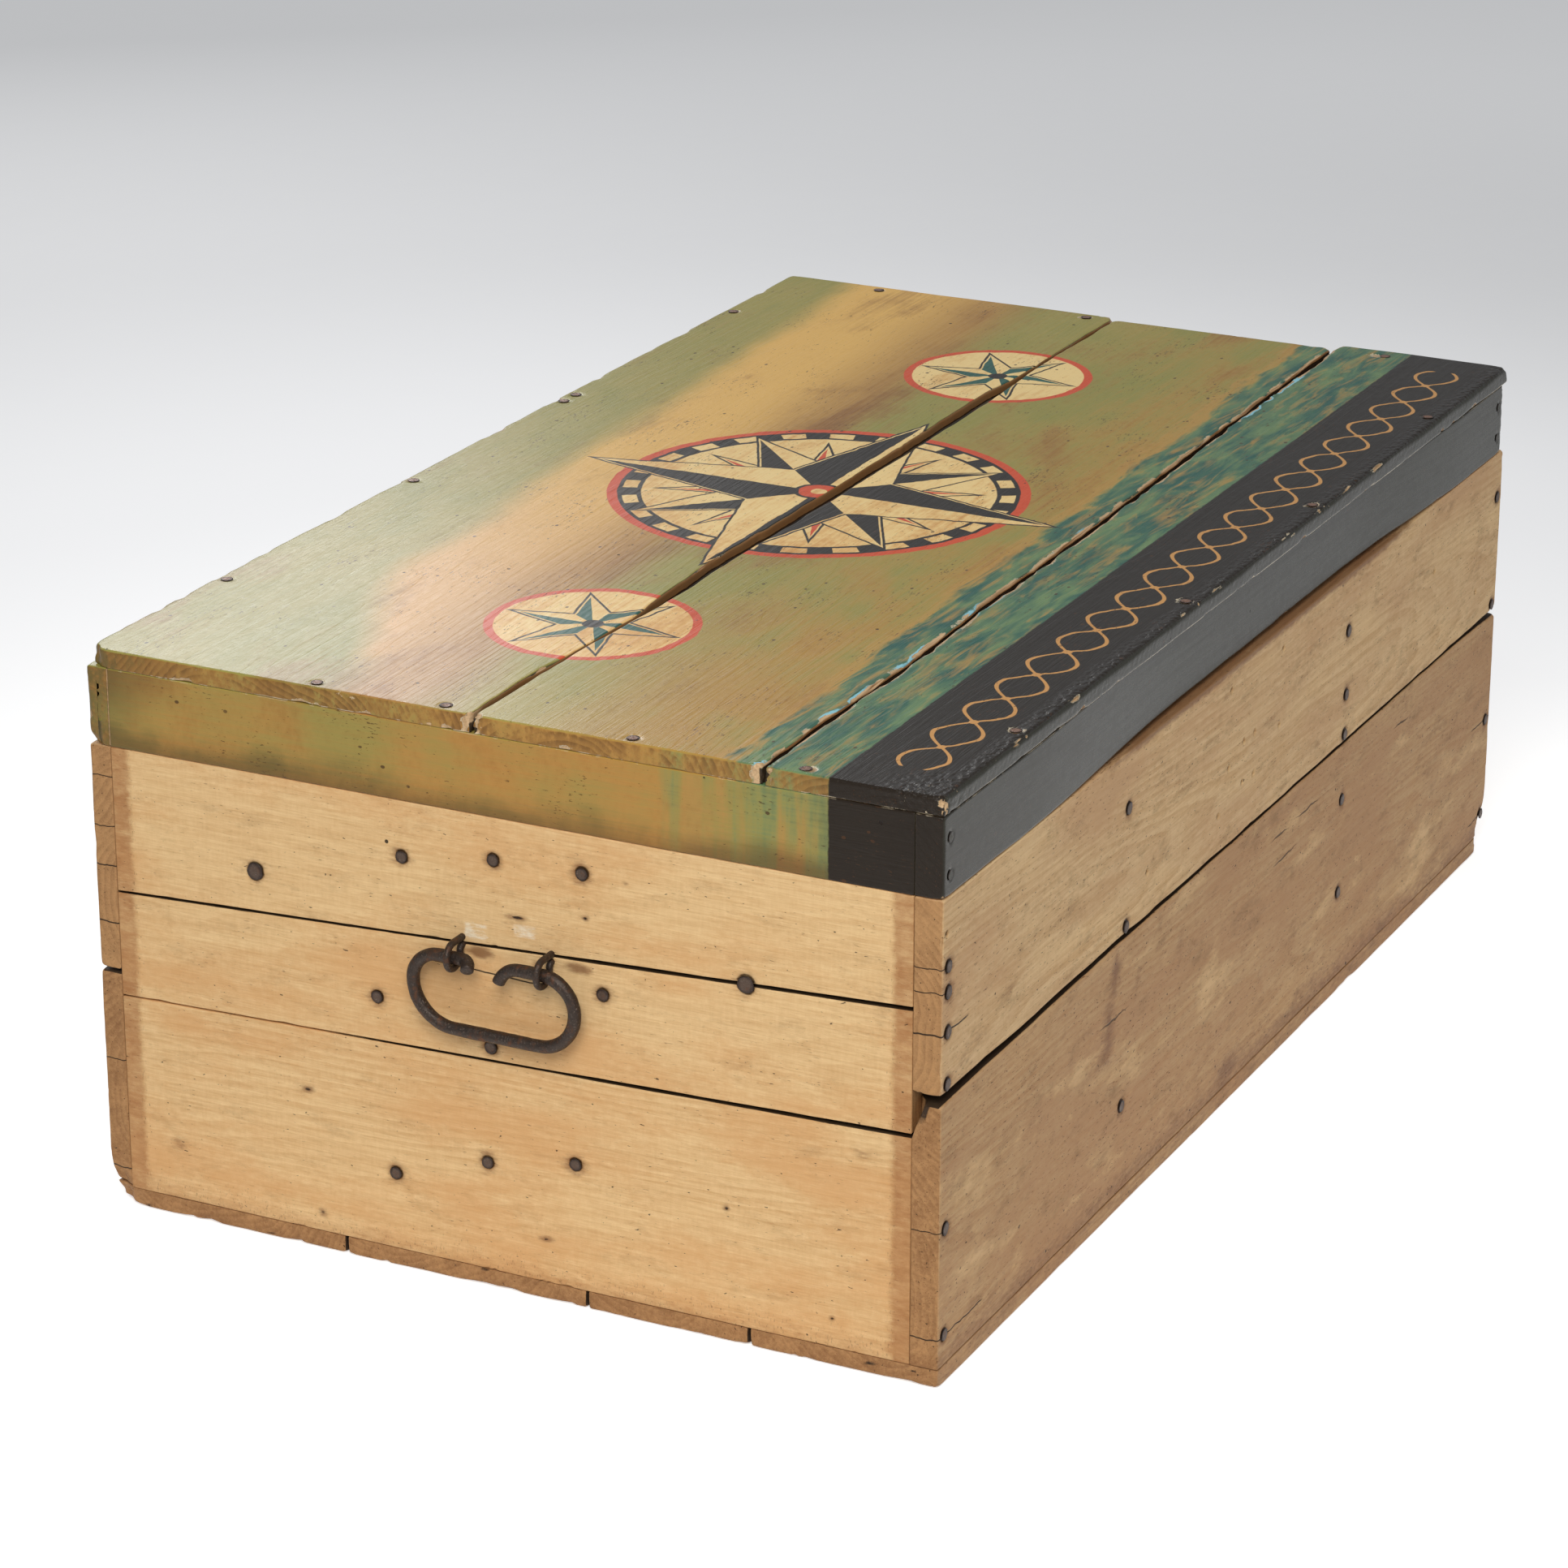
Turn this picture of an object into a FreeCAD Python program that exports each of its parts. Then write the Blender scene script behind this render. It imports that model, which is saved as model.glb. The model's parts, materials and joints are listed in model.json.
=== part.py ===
import FreeCAD, Part
import math
import os

V = FreeCAD.Vector

# A boarded sea chest. Millimetres. X runs along the chest, the front is at -Y, Z is up,
# and the origin is the middle of the case's underside.

# ---- Case ----
CASE_LENGTH = 978.0
CASE_WIDTH = 578.0
CASE_HEIGHT = 310.0
FRONT_THICKNESS = 18.5
BACK_THICKNESS = 15.5
END_THICKNESS = 18.5
BOTTOM_THICKNESS = 12.0
FRONT_JOINT_HEIGHT = 187.0
BACK_JOINT_HEIGHT = 161.0
UPPER_END_JOINT = (240.0, 214.5)  # heights at its two ends: the boards taper
LOWER_END_JOINT = (160.0, 144.5)
BOTTOM_JOINTS = (-165.0, -55.0, 115.0)
SHRINKAGE_GAP = 1.2  # between neighbouring boards
CORNER_ROUND = 4.0
FOOT_CHAMFER = 2.5

# ---- Inner battens and end cleats ----
BATTEN_PLACES = (-214.0, 172.0)
BATTEN_WIDTH = 45.0
BATTEN_THICKNESS = 15.0
BATTEN_TOP_DROP = 18.0  # below the top of the case
CLEAT_SPAN = (-80.0, 100.0)
CLEAT_THICKNESS = 15.0

# ---- Lid ----
LID_SHORTFALL = 8.0  # the lid's rails stop short of the case at the right end
LID_OVERHANGS = {"front": 7.0, "middle": -4.0, "back": 2.0}  # of its boards past the right rail
LID_RAIL_HEIGHT = 50.7
LID_THICKNESS = 12.0
LID_FRONT_RAIL_THICKNESS = 18.5
LID_BACK_RAIL_THICKNESS = 15.5
LID_END_RAIL_THICKNESS = 18.5
LID_JOINTS = (-170.0, 17.0)
LID_JOINT_GAP = 2.0
LID_EDGE_ROUND = 4.5
SEAM_GAP = 0.3  # between the lid's rails and the case

# ---- Nails: hand-made, with faceted heads and square tapered shanks ----
HEAD_RADIUS = 4.1
HEAD_HEIGHT = 1.1
HEAD_SIDES = 6
SMALL_HEAD_RADIUS = 3.3
SMALL_HEAD_HEIGHT = 0.6
LARGE_HEAD_RADIUS = 5.8
HEAD_TAPER = 0.55  # the top of a head, as a share of its foot
SHANK_HALF_WIDTH = 1.6
SHANK_TIP_HALF_WIDTH = 0.7
CORNER_NAIL_LENGTH = 48.0
LID_NAIL_LENGTH = 40.0
BOTTOM_NAIL_LENGTH = 38.0
TIP_COVER = 2.5  # wood left in front of the tip of a nail that goes through two boards
NAIL_SPACE = 14.0  # between the tip of a corner nail and the next nail
JOINT_NAIL_RISE = 6.0  # of the nails just above the front and back joints
LEFT_CORNER_NAILS = {"low": (32.0, 101.0), "drop": (84.0, 59.0, 43.0)}
RIGHT_CORNER_NAILS = {"low": (28.0, 103.0), "drop": (34.0,)}
LEFT_BATTEN_NAILS = {"low": (71.0,), "drop": (38.0,)}
RIGHT_BATTEN_NAILS = {"low": (76.0, 145.0), "drop": (88.0, 42.0)}
CLEAT_NAILS_LOW = ((88.0, 179.0), (9.0, 161.0), (-68.0, 210.0), (78.0, 63.0), (13.0, 84.0), (-48.0, 95.0))
CLEAT_NAILS_DROP = ((68.0, 36.0), (5.0, 27.0), (-55.0, 25.0))
LARGE_NAILS = ((172.0, 246.0), (-163.0, 235.0))
BOTTOM_EDGE_NAIL_SPACING = 190.0
BOTTOM_NAIL_INSET = 30.0
LID_BACK_NAILS = (-340.0, -106.0, 104.0, 122.0, 369.0)
LID_FRONT_NAILS = (-370.0, -108.0, 114.0, 341.0)
LID_LEFT_NAILS = (128.0, 39.0, -86.0, -198.0)
LID_RIGHT_NAILS = (209.0, 37.0, -200.0)
LID_NAIL_INSET = 8.0
RAIL_NAIL_HEIGHTS = (13.0, 36.0)

# ---- Butt hinges in the back seam ----
HINGE_PLACES = (-300.0, 300.0)
HINGE_LENGTH = 62.0
HINGE_LEAF_DEPTH = 13.0
HINGE_LEAF_THICKNESS = 2.4
HINGE_PIN_RADIUS = 2.0
HINGE_BORE_CLEARANCE = 0.05
HINGE_KNUCKLE_WALL = 2.2
HINGE_KNUCKLES = 3
HINGE_SIDE_GAP = 0.3
SCREW_SPACING = 21.0
SCREW_RADIUS = 1.9
SCREW_HEAD_RADIUS = 3.6
SCREW_LENGTH = 22.0
SCREW_SIDES = 6

# ---- Handles: an open forged bail that hangs in two split-pin eyes on each end ----
BAIL_ROD_RADIUS = 4.3
BAIL_ROD_SIDES = 10
BAIL_WIDTH = 119.0
BAIL_HEIGHT = 55.0
BAIL_UPPER_RADII = (22.0, 18.0)  # of the two upper corners
BAIL_CURL_START = -18.0
BAIL_CURL_RADIUS = 15.0
BAIL_CURL_ANGLE = 70.0
BAIL_STUB_START = 21.0
BAIL_STUB_RADIUS = 6.0
BAIL_STUB_ANGLE = 75.0
BAIL_STUB_LENGTH = 3.0
BAIL_STUB_DROP = 32.0  # degrees below the horizontal
EYE_PLACES = (-34.0, 27.0)
EYE_HEIGHT = 227.7
EYE_WIRE_RADIUS = 2.3
EYE_WIRE_SIDES = 6
EYE_RING_RADIUS = 8.2
EYE_NECK_RADIUS = 3.0
EYE_LEG_GAP = 0.2
EYE_TAIL_LENGTH = 13.0
EYE_TAIL_BEND = 3.0
SEAT_GAP = 0.3  # between the rod and the ring that it hangs in
FORGED_STEP = 30.0  # degrees of bend between two flats along a bent rod

# ---- Faces that the pieces share ----
LEFT = -CASE_LENGTH / 2
RIGHT = CASE_LENGTH / 2
FRONT = -CASE_WIDTH / 2
BACK = CASE_WIDTH / 2
TOP = CASE_HEIGHT
INNER_LEFT = LEFT + END_THICKNESS
INNER_RIGHT = RIGHT - END_THICKNESS
INNER_FRONT = FRONT + FRONT_THICKNESS
INNER_BACK = BACK - BACK_THICKNESS
END_MIDDLES = (LEFT + END_THICKNESS / 2, RIGHT - END_THICKNESS / 2)
FLOOR = BOTTOM_THICKNESS
LID_LEFT = LEFT
LID_RIGHT = RIGHT - LID_SHORTFALL
LID_BASE = TOP + SEAM_GAP
LID_SEAT = LID_BASE + LID_RAIL_HEIGHT
LID_TOP = LID_SEAT + LID_THICKNESS
HALF_GAP = SHRINKAGE_GAP / 2
HINGE_AXIS_Z = TOP + SEAM_GAP / 2
HINGE_KNUCKLE_RADIUS = HINGE_PIN_RADIUS + HINGE_BORE_CLEARANCE + HINGE_KNUCKLE_WALL
HINGE_AXIS_Y = BACK + HINGE_KNUCKLE_RADIUS + HINGE_SIDE_GAP
EYE_UPPER_LEG = EYE_HEIGHT + EYE_WIRE_RADIUS + EYE_LEG_GAP / 2
EYE_LOWER_LEG = EYE_HEIGHT - EYE_WIRE_RADIUS - EYE_LEG_GAP / 2
EYE_RING_Z = EYE_UPPER_LEG - EYE_RING_RADIUS
EYE_STANDOFF = EYE_RING_RADIUS + EYE_NECK_RADIUS  # of the ring's middle from the board
BAIL_AXIS_Z = EYE_RING_Z - (EYE_RING_RADIUS - EYE_WIRE_RADIUS - BAIL_ROD_RADIUS - SEAT_GAP)


# ---- Helpers ----
def block(x, y, z):
    """A box over the ranges x, y and z."""
    return Part.makeBox(x[1] - x[0], y[1] - y[0], z[1] - z[0], V(x[0], y[0], z[0]))


def lies_at(edge, place):
    """True for an edge that lies wholly at the named coordinates."""
    box = edge.BoundBox
    spans = {"x": (box.XMin, box.XMax), "y": (box.YMin, box.YMax), "z": (box.ZMin, box.ZMax)}
    return all(abs(end - value) < 1e-4 for axis, value in place.items() for end in spans[axis])


def rounded(shape, radius, *places):
    """The shape with a round on each edge that lies at one of the places."""
    edges = [e for e in shape.Edges if any(lies_at(e, place) for place in places)]
    return shape.makeFillet(radius, edges) if edges else shape


def chamfered(shape, size, *places):
    """The shape with a chamfer on each edge that lies at one of the places."""
    edges = [e for e in shape.Edges if any(lies_at(e, place) for place in places)]
    return shape.makeChamfer(size, edges) if edges else shape


def around(sides):
    """The directions, in radians, of the corners of a polygon that rests on a flat."""
    return [2 * math.pi * (i + 0.5) / sides for i in range(sides)]


def polygon(radius, sides, z):
    """The corners of a level polygon, whose radius is to its corners."""
    return [V(radius * math.cos(turn), radius * math.sin(turn), z) for turn in around(sides)]


def stacked(rings):
    """A solid through rings of as many corners each, closed by the first and the last."""
    faces = [Part.Face(Part.makePolygon(ring + ring[:1])) for ring in (rings[0], rings[-1])]
    for low, high in zip(rings, rings[1:]):
        for i in range(len(low)):
            j = (i + 1) % len(low)
            faces.append(Part.Face(Part.makePolygon([low[i], low[j], high[j], high[i], low[i]])))
    solid = Part.makeSolid(Part.makeShell(faces))
    return solid if solid.Volume > 0 else solid.reversed()


def aimed(shape, at, outward):
    """A shape built along +Z, moved to a place on a face with +Z along its outward normal."""
    moved = shape.copy()
    moved.Placement = FreeCAD.Placement(at, FreeCAD.Rotation(V(0, 0, 1), outward))
    return moved


def shank(top, length):
    """A square tapered shank from the height top down to its tip."""
    diagonal = math.sqrt(2)
    return stacked([
        polygon(SHANK_TIP_HALF_WIDTH * diagonal, 4, -length),
        polygon(SHANK_HALF_WIDTH * diagonal, 4, top),
    ])


def nail(at, outward, length, radius=HEAD_RADIUS, height=HEAD_HEIGHT):
    """A nail whose faceted head lies on the face."""
    head = stacked([polygon(radius, HEAD_SIDES, 0), polygon(radius * HEAD_TAPER, HEAD_SIDES, height)])
    return aimed(head.fuse(shank(0, length)), at, outward)


def flush_nail(at, outward, length):
    """A nail whose square head is driven in until it is level with the face."""
    diagonal = math.sqrt(2)
    head = stacked([
        polygon(SHANK_HALF_WIDTH * diagonal, 4, -SMALL_HEAD_HEIGHT),
        polygon(SMALL_HEAD_RADIUS * diagonal / 2, 4, 0),
    ])
    return aimed(head.fuse(shank(-SMALL_HEAD_HEIGHT, length)).removeSplitter(), at, outward)


def screw(at, outward):
    """A countersunk wood screw, flush with the leaf that it holds."""
    taper = SCREW_HEAD_RADIUS - SCREW_RADIUS
    point = 2 * SCREW_RADIUS
    made = stacked([
        polygon(SCREW_RADIUS / point, SCREW_SIDES, -SCREW_LENGTH),
        polygon(SCREW_RADIUS, SCREW_SIDES, point - SCREW_LENGTH),
        polygon(SCREW_RADIUS, SCREW_SIDES, -taper),
        polygon(SCREW_HEAD_RADIUS, SCREW_SIDES, 0),
    ])
    return aimed(made, at, outward)


def pierced(shape, fasteners):
    """The shape with the holes that the fasteners fill."""
    near = [f for f in fasteners if f.BoundBox.intersect(shape.BoundBox)]
    return shape.cut(Part.makeCompound(near)).removeSplitter() if near else shape


def bend(centre, radius, start, end, along, up):
    """Corners of a path round a bend, from angle start to end in degrees from along towards up.

    Its straight runs touch the bend's middle line, so the runs before and after it stay in line.
    """
    steps = max(1, round(abs(end - start) / FORGED_STEP))
    step = (end - start) / steps
    reach = radius / math.cos(math.radians(step / 2))
    turns = [math.radians(start + step * (i + 0.5)) for i in range(steps)]
    return [centre + along * (reach * math.cos(turn)) + up * (reach * math.sin(turn)) for turn in turns]


def rod(path, radius, sides, across):
    """A forged rod along a path of corners, mitred at each one. Its flats touch the radius."""
    runs = [(b - a).normalize() for a, b in zip(path, path[1:])]
    other = runs[0].cross(across)
    reach = radius / math.cos(math.pi / sides)
    spokes = [across * math.cos(turn) + other * math.sin(turn) for turn in around(sides)]
    rings = [[path[0] + spoke * reach for spoke in spokes]]
    for i in range(1, len(path)):
        run = runs[i - 1]
        mitre = run + runs[i] if i < len(runs) else run
        rings.append([p + run * ((path[i] - p).dot(mitre) / run.dot(mitre)) for p in rings[-1]])
    return stacked(rings)


# ---- Fasteners ----
def heights(nails, joint):
    """Nail heights: from the underside, just above the joint, and down from the top."""
    return nails["low"] + (joint + JOINT_NAIL_RISE,) + tuple(TOP - drop for drop in nails["drop"])


def wall_nails(face, outward, joint, thickness):
    """Nails of the front or back: into the end boards, and into the battens behind."""
    corners = []
    battens = []
    for x, nails in zip(END_MIDDLES, (LEFT_CORNER_NAILS, RIGHT_CORNER_NAILS)):
        for z in heights(nails, joint):
            corners.append(nail(V(x, face, z), outward, CORNER_NAIL_LENGTH))
    length = thickness + BATTEN_THICKNESS - TIP_COVER
    for x, nails in zip(BATTEN_PLACES, (LEFT_BATTEN_NAILS, RIGHT_BATTEN_NAILS)):
        for z in heights(nails, joint):
            battens.append(nail(V(x, face, z), outward, length))
    return corners, battens


def cleat_nails(side):
    """Nails of one end: through the boards into the cleat, and two large ones in the boards."""
    face = side * RIGHT
    outward = V(side, 0, 0)
    length = END_THICKNESS + CLEAT_THICKNESS - TIP_COVER
    made = []
    for y, z in CLEAT_NAILS_LOW + tuple((y, TOP - drop) for y, drop in CLEAT_NAILS_DROP):
        made.append(nail(V(face, -side * y, z), outward, length))
    for y, z in LARGE_NAILS:
        made.append(nail(V(face, -side * y, z), outward, END_THICKNESS - TIP_COVER, LARGE_HEAD_RADIUS))
    return made


def bottom_nails():
    """Flush nails up through the bottom boards, into the ends and into the front and back."""
    edges = (FRONT,) + BOTTOM_JOINTS + (BACK,)
    down = V(0, 0, -1)
    made = []
    for low, high in zip(edges, edges[1:]):
        first = low + (CORNER_NAIL_LENGTH + NAIL_SPACE if low == FRONT else BOTTOM_NAIL_INSET)
        last = high - (CORNER_NAIL_LENGTH + NAIL_SPACE if high == BACK else BOTTOM_NAIL_INSET)
        for x in END_MIDDLES:
            for y in (first, last):
                made.append(flush_nail(V(x, y, 0), down, BOTTOM_NAIL_LENGTH))
    for y in (FRONT + FRONT_THICKNESS / 2, BACK - BACK_THICKNESS / 2):
        for step in range(-2, 3):
            made.append(flush_nail(V(step * BOTTOM_EDGE_NAIL_SPACING, y, 0), down, BOTTOM_NAIL_LENGTH))
    return made


def lid_nails():
    """Nails down through the lid's boards into its rails."""
    up = V(0, 0, 1)
    places = [(x, BACK - LID_NAIL_INSET) for x in LID_BACK_NAILS]
    places += [(x, FRONT + LID_FRONT_RAIL_THICKNESS / 2) for x in LID_FRONT_NAILS]
    places += [(LID_LEFT + LID_NAIL_INSET, y) for y in LID_LEFT_NAILS]
    places += [(LID_RIGHT - LID_NAIL_INSET, y) for y in LID_RIGHT_NAILS]
    return [nail(V(x, y, LID_TOP), up, LID_NAIL_LENGTH) for x, y in places]


def rail_nails():
    """Small nails through the lid's front and back rails into the ends of its end rails."""
    made = []
    for x in (LID_LEFT + LID_END_RAIL_THICKNESS / 2, LID_RIGHT - LID_END_RAIL_THICKNESS / 2):
        for rise in RAIL_NAIL_HEIGHTS:
            for face, outward in ((FRONT, V(0, -1, 0)), (BACK, V(0, 1, 0))):
                at = V(x, face, LID_BASE + rise)
                made.append(nail(at, outward, CORNER_NAIL_LENGTH, SMALL_HEAD_RADIUS, SMALL_HEAD_HEIGHT))
    return made


# ---- Hinges ----
def knuckle_ranges(place, owner):
    """The X ranges of the knuckles that belong to a leaf: owner 0 is the case, 1 the lid."""
    pitch = HINGE_LENGTH / HINGE_KNUCKLES
    start = place - HINGE_LENGTH / 2
    gap = HINGE_SIDE_GAP / 2
    return [
        (start + i * pitch + gap, start + (i + 1) * pitch - gap)
        for i in range(HINGE_KNUCKLES)
        if i % 2 == owner
    ]


def hinge_leaf(place, owner):
    """A leaf let into the edge of the wood, with its knuckles behind the back face."""
    x = (place - HINGE_LENGTH / 2, place + HINGE_LENGTH / 2)
    if owner == 0:
        z = (TOP - HINGE_LEAF_THICKNESS, TOP)
    else:
        z = (LID_BASE, LID_BASE + HINGE_LEAF_THICKNESS)
    leaf = block(x, (BACK - HINGE_LEAF_DEPTH, HINGE_AXIS_Y), z)
    along = V(1, 0, 0)
    room = HINGE_KNUCKLE_RADIUS + HINGE_SIDE_GAP
    for low, high in knuckle_ranges(place, 1 - owner):
        at = V(low - HINGE_SIDE_GAP, HINGE_AXIS_Y, HINGE_AXIS_Z)
        leaf = leaf.cut(Part.makeCylinder(room, high - low + 2 * HINGE_SIDE_GAP, at, along))
    for low, high in knuckle_ranges(place, owner):
        at = V(low, HINGE_AXIS_Y, HINGE_AXIS_Z)
        leaf = leaf.fuse(Part.makeCylinder(HINGE_KNUCKLE_RADIUS, high - low, at, along))
    bore = Part.makeCylinder(
        HINGE_PIN_RADIUS + HINGE_BORE_CLEARANCE, HINGE_LENGTH, V(x[0], HINGE_AXIS_Y, HINGE_AXIS_Z), along
    )
    return leaf.cut(bore).removeSplitter()


def hinge_pin(place):
    """The pin, level with the ends of the knuckles."""
    length = HINGE_LENGTH - HINGE_SIDE_GAP
    end = V(place - length / 2, HINGE_AXIS_Y, HINGE_AXIS_Z)
    return Part.makeCylinder(HINGE_PIN_RADIUS, length, end, V(1, 0, 0))


def hinge_screws(owner):
    """The screws of all leaves of one owner, down into the case or up into the lid."""
    face, outward = (TOP, V(0, 0, 1)) if owner == 0 else (LID_BASE, V(0, 0, -1))
    y = BACK - HINGE_LEAF_DEPTH / 2
    return [
        screw(V(place + step * SCREW_SPACING, y, face), outward)
        for place in HINGE_PLACES
        for step in (-1, 0, 1)
    ]


# ---- Handles, built on the left end and turned half round Z for the right end ----
def turned_round(shape, side):
    if side > 0:
        shape.rotate(V(0, 0, 0), V(0, 0, 1), 180)
    return shape


def handle_eye(y):
    """A split pin: a ring outside, two legs through the wall, and two tails clenched inside."""
    out = V(-1, 0, 0)
    up = V(0, 0, 1)

    def at(distance, z):
        return V(LEFT, y, z) + out * distance

    elbow = -(END_THICKNESS + CLEAT_THICKNESS)
    tail = elbow - EYE_TAIL_BEND
    upper_elbow = EYE_UPPER_LEG + EYE_TAIL_BEND
    lower_elbow = EYE_LOWER_LEG - EYE_TAIL_BEND
    path = [at(tail, upper_elbow + EYE_TAIL_LENGTH)]
    path += bend(at(elbow, upper_elbow), EYE_TAIL_BEND, 180, 270, out, up)
    path += bend(at(EYE_STANDOFF, EYE_RING_Z), EYE_RING_RADIUS, 90, -180, out, up)
    path += bend(at(0, EYE_LOWER_LEG - EYE_NECK_RADIUS), EYE_NECK_RADIUS, 0, 90, out, up)
    path += bend(at(elbow, lower_elbow), EYE_TAIL_BEND, 90, 180, out, up)
    path += [at(tail, lower_elbow - EYE_TAIL_LENGTH)]
    return rod(path, EYE_WIRE_RADIUS, EYE_WIRE_SIDES, out)


def handle_bail():
    """The open loop: its two ends turn in at the top and pass through the eyes."""
    x = LEFT - EYE_STANDOFF
    half = BAIL_WIDTH / 2 - BAIL_ROD_RADIUS
    drop = BAIL_HEIGHT - 2 * BAIL_ROD_RADIUS
    front_upper, back_upper = BAIL_UPPER_RADII
    front_lower = drop - front_upper
    back_lower = drop - back_upper
    along = V(0, 1, 0)
    up = V(0, 0, 1)

    def at(y, z):
        return V(x, y, BAIL_AXIS_Z + z)

    lean = math.radians(BAIL_STUB_DROP)
    aside = V(-math.cos(lean), 0, -math.sin(lean))
    stub_turn = math.radians(BAIL_STUB_ANGLE)
    stub_run = along * -math.cos(stub_turn) + aside * math.sin(stub_turn)
    stub_centre = at(BAIL_STUB_START, 0) + aside * BAIL_STUB_RADIUS
    stub_foot = stub_centre - (along * math.sin(stub_turn) + aside * math.cos(stub_turn)) * BAIL_STUB_RADIUS
    curl_turn = math.radians(BAIL_CURL_ANGLE)
    curl_centre = at(BAIL_CURL_START, -BAIL_CURL_RADIUS)
    curl_tip = curl_centre + (along * math.sin(curl_turn) + up * math.cos(curl_turn)) * BAIL_CURL_RADIUS
    path = [stub_foot + stub_run * BAIL_STUB_LENGTH]
    path += bend(stub_centre, BAIL_STUB_RADIUS, 180 + BAIL_STUB_ANGLE, 180, aside, along)
    path += bend(at(half - back_upper, -back_upper), back_upper, 90, 0, along, up)
    path += bend(at(half - back_lower, -back_upper), back_lower, 0, -90, along, up)
    path += bend(at(front_lower - half, -front_upper), front_lower, -90, -180, along, up)
    path += bend(at(front_upper - half, -front_upper), front_upper, 180, 90, along, up)
    path += bend(curl_centre, BAIL_CURL_RADIUS, 90, 90 - BAIL_CURL_ANGLE, along, up)
    path += [curl_tip]
    across = stub_run.cross(aside.cross(along)).normalize()
    return rod(path, BAIL_ROD_RADIUS, BAIL_ROD_SIDES, across)


# ---- Boards ----
def long_board(x, y, z):
    """A front or back board or rail: full length, with its two outer corners worn round."""
    outer = FRONT if y[0] == FRONT else BACK
    return rounded(block(x, y, z), CORNER_ROUND, {"x": x[0], "y": outer}, {"x": x[1], "y": outer})


def end_board(side, low, high):
    """An end board between the front and the back; low and high are its edges' heights at its two ends."""
    x = INNER_RIGHT if side > 0 else LEFT
    if side > 0:
        low, high = low[::-1], high[::-1]
    corners = [
        V(x, INNER_FRONT, low[0]),
        V(x, INNER_BACK, low[1]),
        V(x, INNER_BACK, high[1]),
        V(x, INNER_FRONT, high[0]),
        V(x, INNER_FRONT, low[0]),
    ]
    return Part.Face(Part.makePolygon(corners)).extrude(V(END_THICKNESS, 0, 0))


def shifted(joint, step):
    return (joint[0] + step, joint[1] + step)


def side_by_side(edges, gap):
    """The ranges of boards between the edges, with half the gap taken off at each inner edge."""
    ranges = []
    for low, high in zip(edges, edges[1:]):
        low_inset = gap / 2 if low != edges[0] else 0
        high_inset = gap / 2 if high != edges[-1] else 0
        ranges.append((low + low_inset, high - high_inset))
    return ranges


def write(name, *solids):
    shape = solids[0] if len(solids) == 1 else Part.makeCompound(list(solids))
    for solid in shape.Solids:
        if not solid.isValid() or solid.Volume <= 0:
            raise ValueError(name + " has a bad solid")
    shape.exportStep(os.path.join("parts", name + ".step"))


def write_wall(name, y, inner, joint, fixed, hinge_parts):
    """The two boards of the front or back, and the two battens behind them."""
    lower = long_board((LEFT, RIGHT), y, (FLOOR, joint - HALF_GAP))
    upper = long_board((LEFT, RIGHT), y, (joint + HALF_GAP, TOP))
    write(name + "_board_lower", pierced(lower, fixed))
    write(name + "_board_upper", pierced(upper, fixed + hinge_parts))
    for label, place in zip(("left", "right"), BATTEN_PLACES):
        x = (place - BATTEN_WIDTH / 2, place + BATTEN_WIDTH / 2)
        batten = block(x, inner, (FLOOR, TOP - BATTEN_TOP_DROP))
        write(name + "_batten_" + label, pierced(batten, fixed))


def write_end(label, side, fixed):
    """The three boards of an end, the cleat behind them, and the handle with its eyes."""
    eyes = [turned_round(handle_eye(y), side) for y in EYE_PLACES]
    nails = cleat_nails(side)
    holes = fixed + eyes + nails
    stack = {
        "lower": ((FLOOR, FLOOR), shifted(LOWER_END_JOINT, -HALF_GAP)),
        "middle": (shifted(LOWER_END_JOINT, HALF_GAP), shifted(UPPER_END_JOINT, -HALF_GAP)),
        "upper": (shifted(UPPER_END_JOINT, HALF_GAP), (TOP, TOP)),
    }
    for place, (low, high) in stack.items():
        write(label + "_end_board_" + place, pierced(end_board(side, low, high), holes))
    cleat = block((INNER_LEFT, INNER_LEFT + CLEAT_THICKNESS), CLEAT_SPAN, (FLOOR, TOP - BATTEN_TOP_DROP))
    write(label + "_end_cleat", pierced(turned_round(cleat, side), holes))
    write(label + "_handle_eyes", *eyes)
    write(label + "_end_nails", *nails)
    write(label + "_handle_bail", turned_round(handle_bail(), side))


def write_bottom(under):
    """The boards under the case, laid lengthwise, and the nails that hold them."""
    outer = [{"x": LEFT, "z": 0}, {"x": RIGHT, "z": 0}, {"y": FRONT, "z": 0}, {"y": BACK, "z": 0}]
    ranges = side_by_side((FRONT,) + BOTTOM_JOINTS + (BACK,), SHRINKAGE_GAP)
    for number, y in enumerate(ranges, 1):
        board = chamfered(block((LEFT, RIGHT), y, (0, FLOOR)), FOOT_CHAMFER, *outer)
        write("bottom_board_" + str(number), pierced(board, under))
    write("bottom_nails", *under)


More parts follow.
